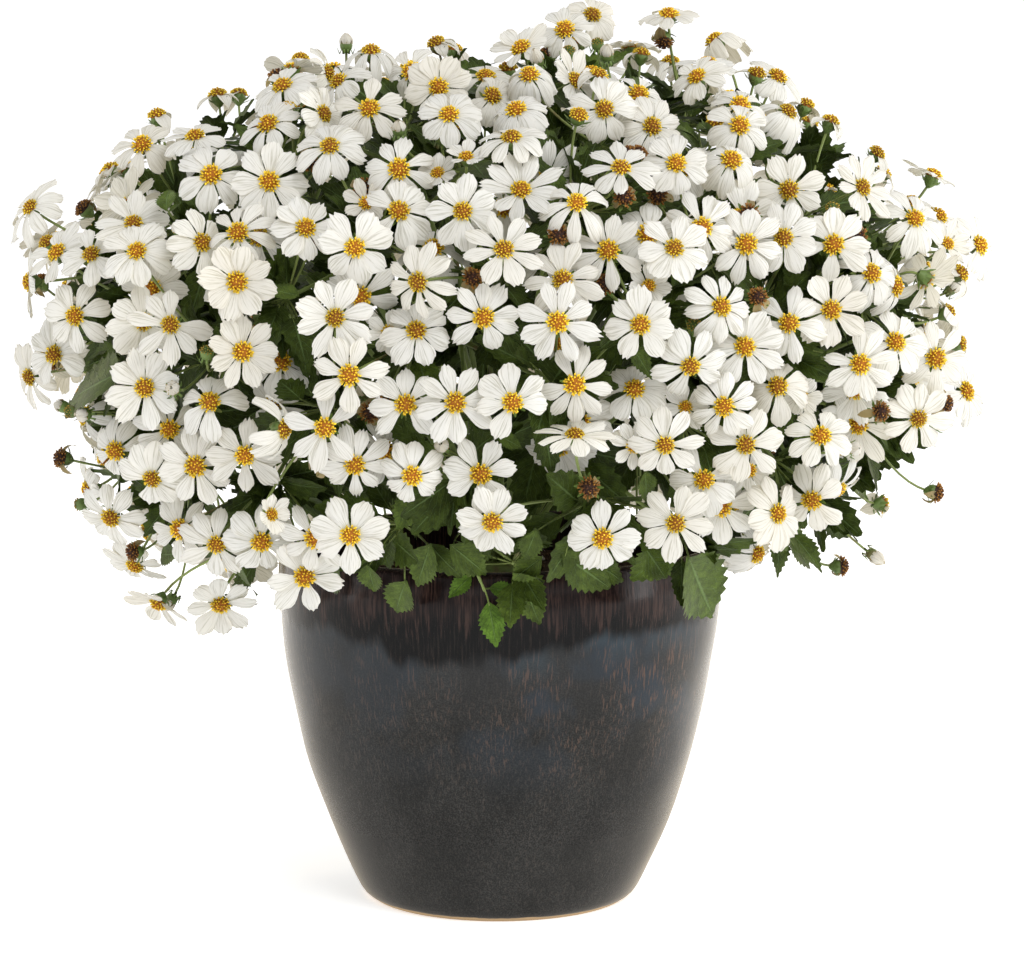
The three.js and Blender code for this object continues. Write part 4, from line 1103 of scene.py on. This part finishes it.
CROWN_SIDES = 40
CROWN_PROFILE = [
    (0.0265, 0), (0.0270, 0.3), (0.0255, 0.62), (0.0225, 0.85), (0.017, 0.97), (0.010, 1.0),
    (0.003, 0.98)]
crown_low, crown_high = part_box("crown")
crown_height = crown_high.z - crown_low.z
crown, faces = domed([(r, h * crown_height) for r, h in CROWN_PROFILE], CROWN_SIDES, crown_height)
knobs = ripple(crown[:, 0], crown[:, 1], 1, 700)
knobs[-1] = 0
crown[:, :2] *= (1 + 0.05 * knobs)[:, None]
crown[:, 2] += crown_low.z + 0.0007 * knobs * (crown[:, 2] > crown_height / 2)
shape = Shape()
shape.add(crown, faces, [0.3, 0.5], STEM_GREEN * 0.8)
shape.piece("crown", "_knobbly", stem_look, "green_stem")


def pot_curve(rows, steps):
    """A smooth curve through [radius, height] rows, with some steps between each two."""
    p = np.asarray(rows, float) * MM
    p = np.vstack([2 * p[0] - p[1], p, 2 * p[-1] - p[-2]])
    t = (np.arange(steps) / steps)[:, None]
    spans = []
    for a, b, c, d in zip(p, p[1:], p[2:], p[3:]):
        square, cube = 2 * a - 5 * b + 4 * c - d, 3 * b - a - 3 * c + d
        spans.append(0.5 * (2 * b + (c - a) * t + square * t**2 + cube * t**3))
    return np.vstack([*spans, p[-2:-1]])


def pot_radius(height):
    return np.interp(height, outside[:, 1], outside[:, 0])


outside = pot_curve(POT_SIDE, 4)
soil_edge = pot_radius(SOIL_TOP) - WALL - SOIL_GAP
rows, columns = 22, 90
share = np.linspace(0, 1, rows)[:, None] ** 0.8
angle = round_angles(columns)
x, y = share * soil_edge * np.cos(angle), share * soil_edge * np.sin(angle)
z = SOIL_TOP + SOIL_DOME * (1 - share**2)
z = z + 0.0011 * ripple(x, y, 2, 260) + 0.0007 * ripple(x, y, 3, 900)
surface = np.stack([x, y, z], axis=-1)
sides = [[pot_radius(h) - WALL - SOIL_GAP, h] for h in (0.200, 0.166, 0.113, 0.060, 0.0143)]
rings = np.vstack([surface, lathe(sides, columns).reshape(len(sides), columns, 3)])
shape = Shape()
faces = grid_faces(rows + len(sides), columns, True)[:, ::-1]
shape.add(rings, [faces[columns:]], [0.5, 0.5], SOIL_BROWN)
r = rng(14)
for k in range(CRUMBS):
    out, turn = soil_edge * sqrt(r.uniform(0.05, 0.94)), r.uniform(0, 2 * pi)
    height = SOIL_TOP + SOIL_DOME * (1 - (out / soil_edge)**2) + 0.0006
    spot = np.array([out * cos(turn), out * sin(turn), height])
    size = r.uniform(0.0008, 0.0026)
    corners = unit(r.normal(size=(6, 3)) * 0.35 + SIX_WAYS) * size * r.uniform(0.6, 1.2, (6, 1))
    tint = PERLITE if r.uniform() < PALE_CRUMBS else jitter(SOIL_BROWN * 1.3, r, 0.5)
    shape.add(corners + spot, [np.array(OCTAHEDRON)], [0.5, 0.5], tint)
shape.piece("potting_soil", "_crumbly", soil_material(), "potting_mix")

# Pot

lip_middle, lip_height = outside[-1][0] - WALL / 2, POT_HEIGHT - WALL / 2
lip = [
    [lip_middle + WALL / 2 * cos(a), lip_height + WALL / 2 * sin(a)]
    for a in np.linspace(0, pi, 15)[1:]]
inside = [[q[0] - WALL, q[1]] for q in outside[::-1] if q[1] > BASE_THICKNESS + WALL]
base = [
    [pot_radius(BASE_THICKNESS) - WALL, BASE_THICKNESS], [DRAIN_RADIUS, BASE_THICKNESS],
    [DRAIN_RADIUS, 0]]
foot = [[DRAIN_RADIUS, 0], [0.040, 0], [0.070, 0]]
profile = np.array([*foot, *outside, *lip, *inside, *base])
thrown = lathe(profile, POT_SIDES).reshape(len(profile), POT_SIDES, 3)
angle = round_angles(POT_SIDES)
radius, height = profile[:, :1], profile[:, 1:]
uneven = 0.0004 * np.sin(3 * angle + height * 40) + 0.0003 * np.sin(5 * angle - height * 90)
uneven = uneven * np.clip(height / 0.03, 0, 1)
thrown[..., :2] *= (1 + uneven / np.maximum(radius, 0.05))[..., None]
shape = Shape()
shape.add(thrown, [grid_faces(len(profile), POT_SIDES, True)], [0.5, 0.5], [0.02, 0.015, 0.013])
shape.piece("pot", "_glazed", glaze_material(), "pot_glaze")

# Stage, camera and light


def make_light(name, place, target, size, power, colour):
    data = bpy.data.lights.new(name, "AREA")
    data.shape = "RECTANGLE"
    data.size, data.size_y = size
    data.energy = power
    data.color = colour
    made = placed(name, data)
    made.visible_camera = False
    made.location = place
    way = Vector(target) - Vector(place)
    made.rotation_euler = way.to_track_quat("-Z", "Y").to_euler()


rings = lathe([(FLOOR_RADIUS * k, 0) for k in (0.0001, 0.003, 0.03, 1)], 64)
mesh = bpy.data.meshes.new("studio_floor")
faces = [*grid_faces(4, 64, True).tolist(), list(range(63, -1, -1))]
mesh.from_pydata(rings.tolist(), [], faces)
mesh.materials.append(floor_material())
placed("studio_floor", mesh)

lens = bpy.data.cameras.new("camera")
lens.lens = LENS_MM
lens.clip_start, lens.clip_end = 0.05, 400
camera = placed("camera", lens)
camera.location = EYE
camera.rotation_euler = (radians(90 - EYE_TILT_DEG), 0, 0)
stage.camera = camera

world = bpy.data.worlds.new("studio")
world.use_nodes = True
shade = world.node_tree.nodes["Background"]
shade.inputs["Color"].default_value = (*WHITE, 1)
shade.inputs["Strength"].default_value = WORLD_LIGHT
stage.world = world
for row in LIGHTS:
    make_light(*row)
stage.view_settings.view_transform = "Standard"
stage.view_settings.look = "None"
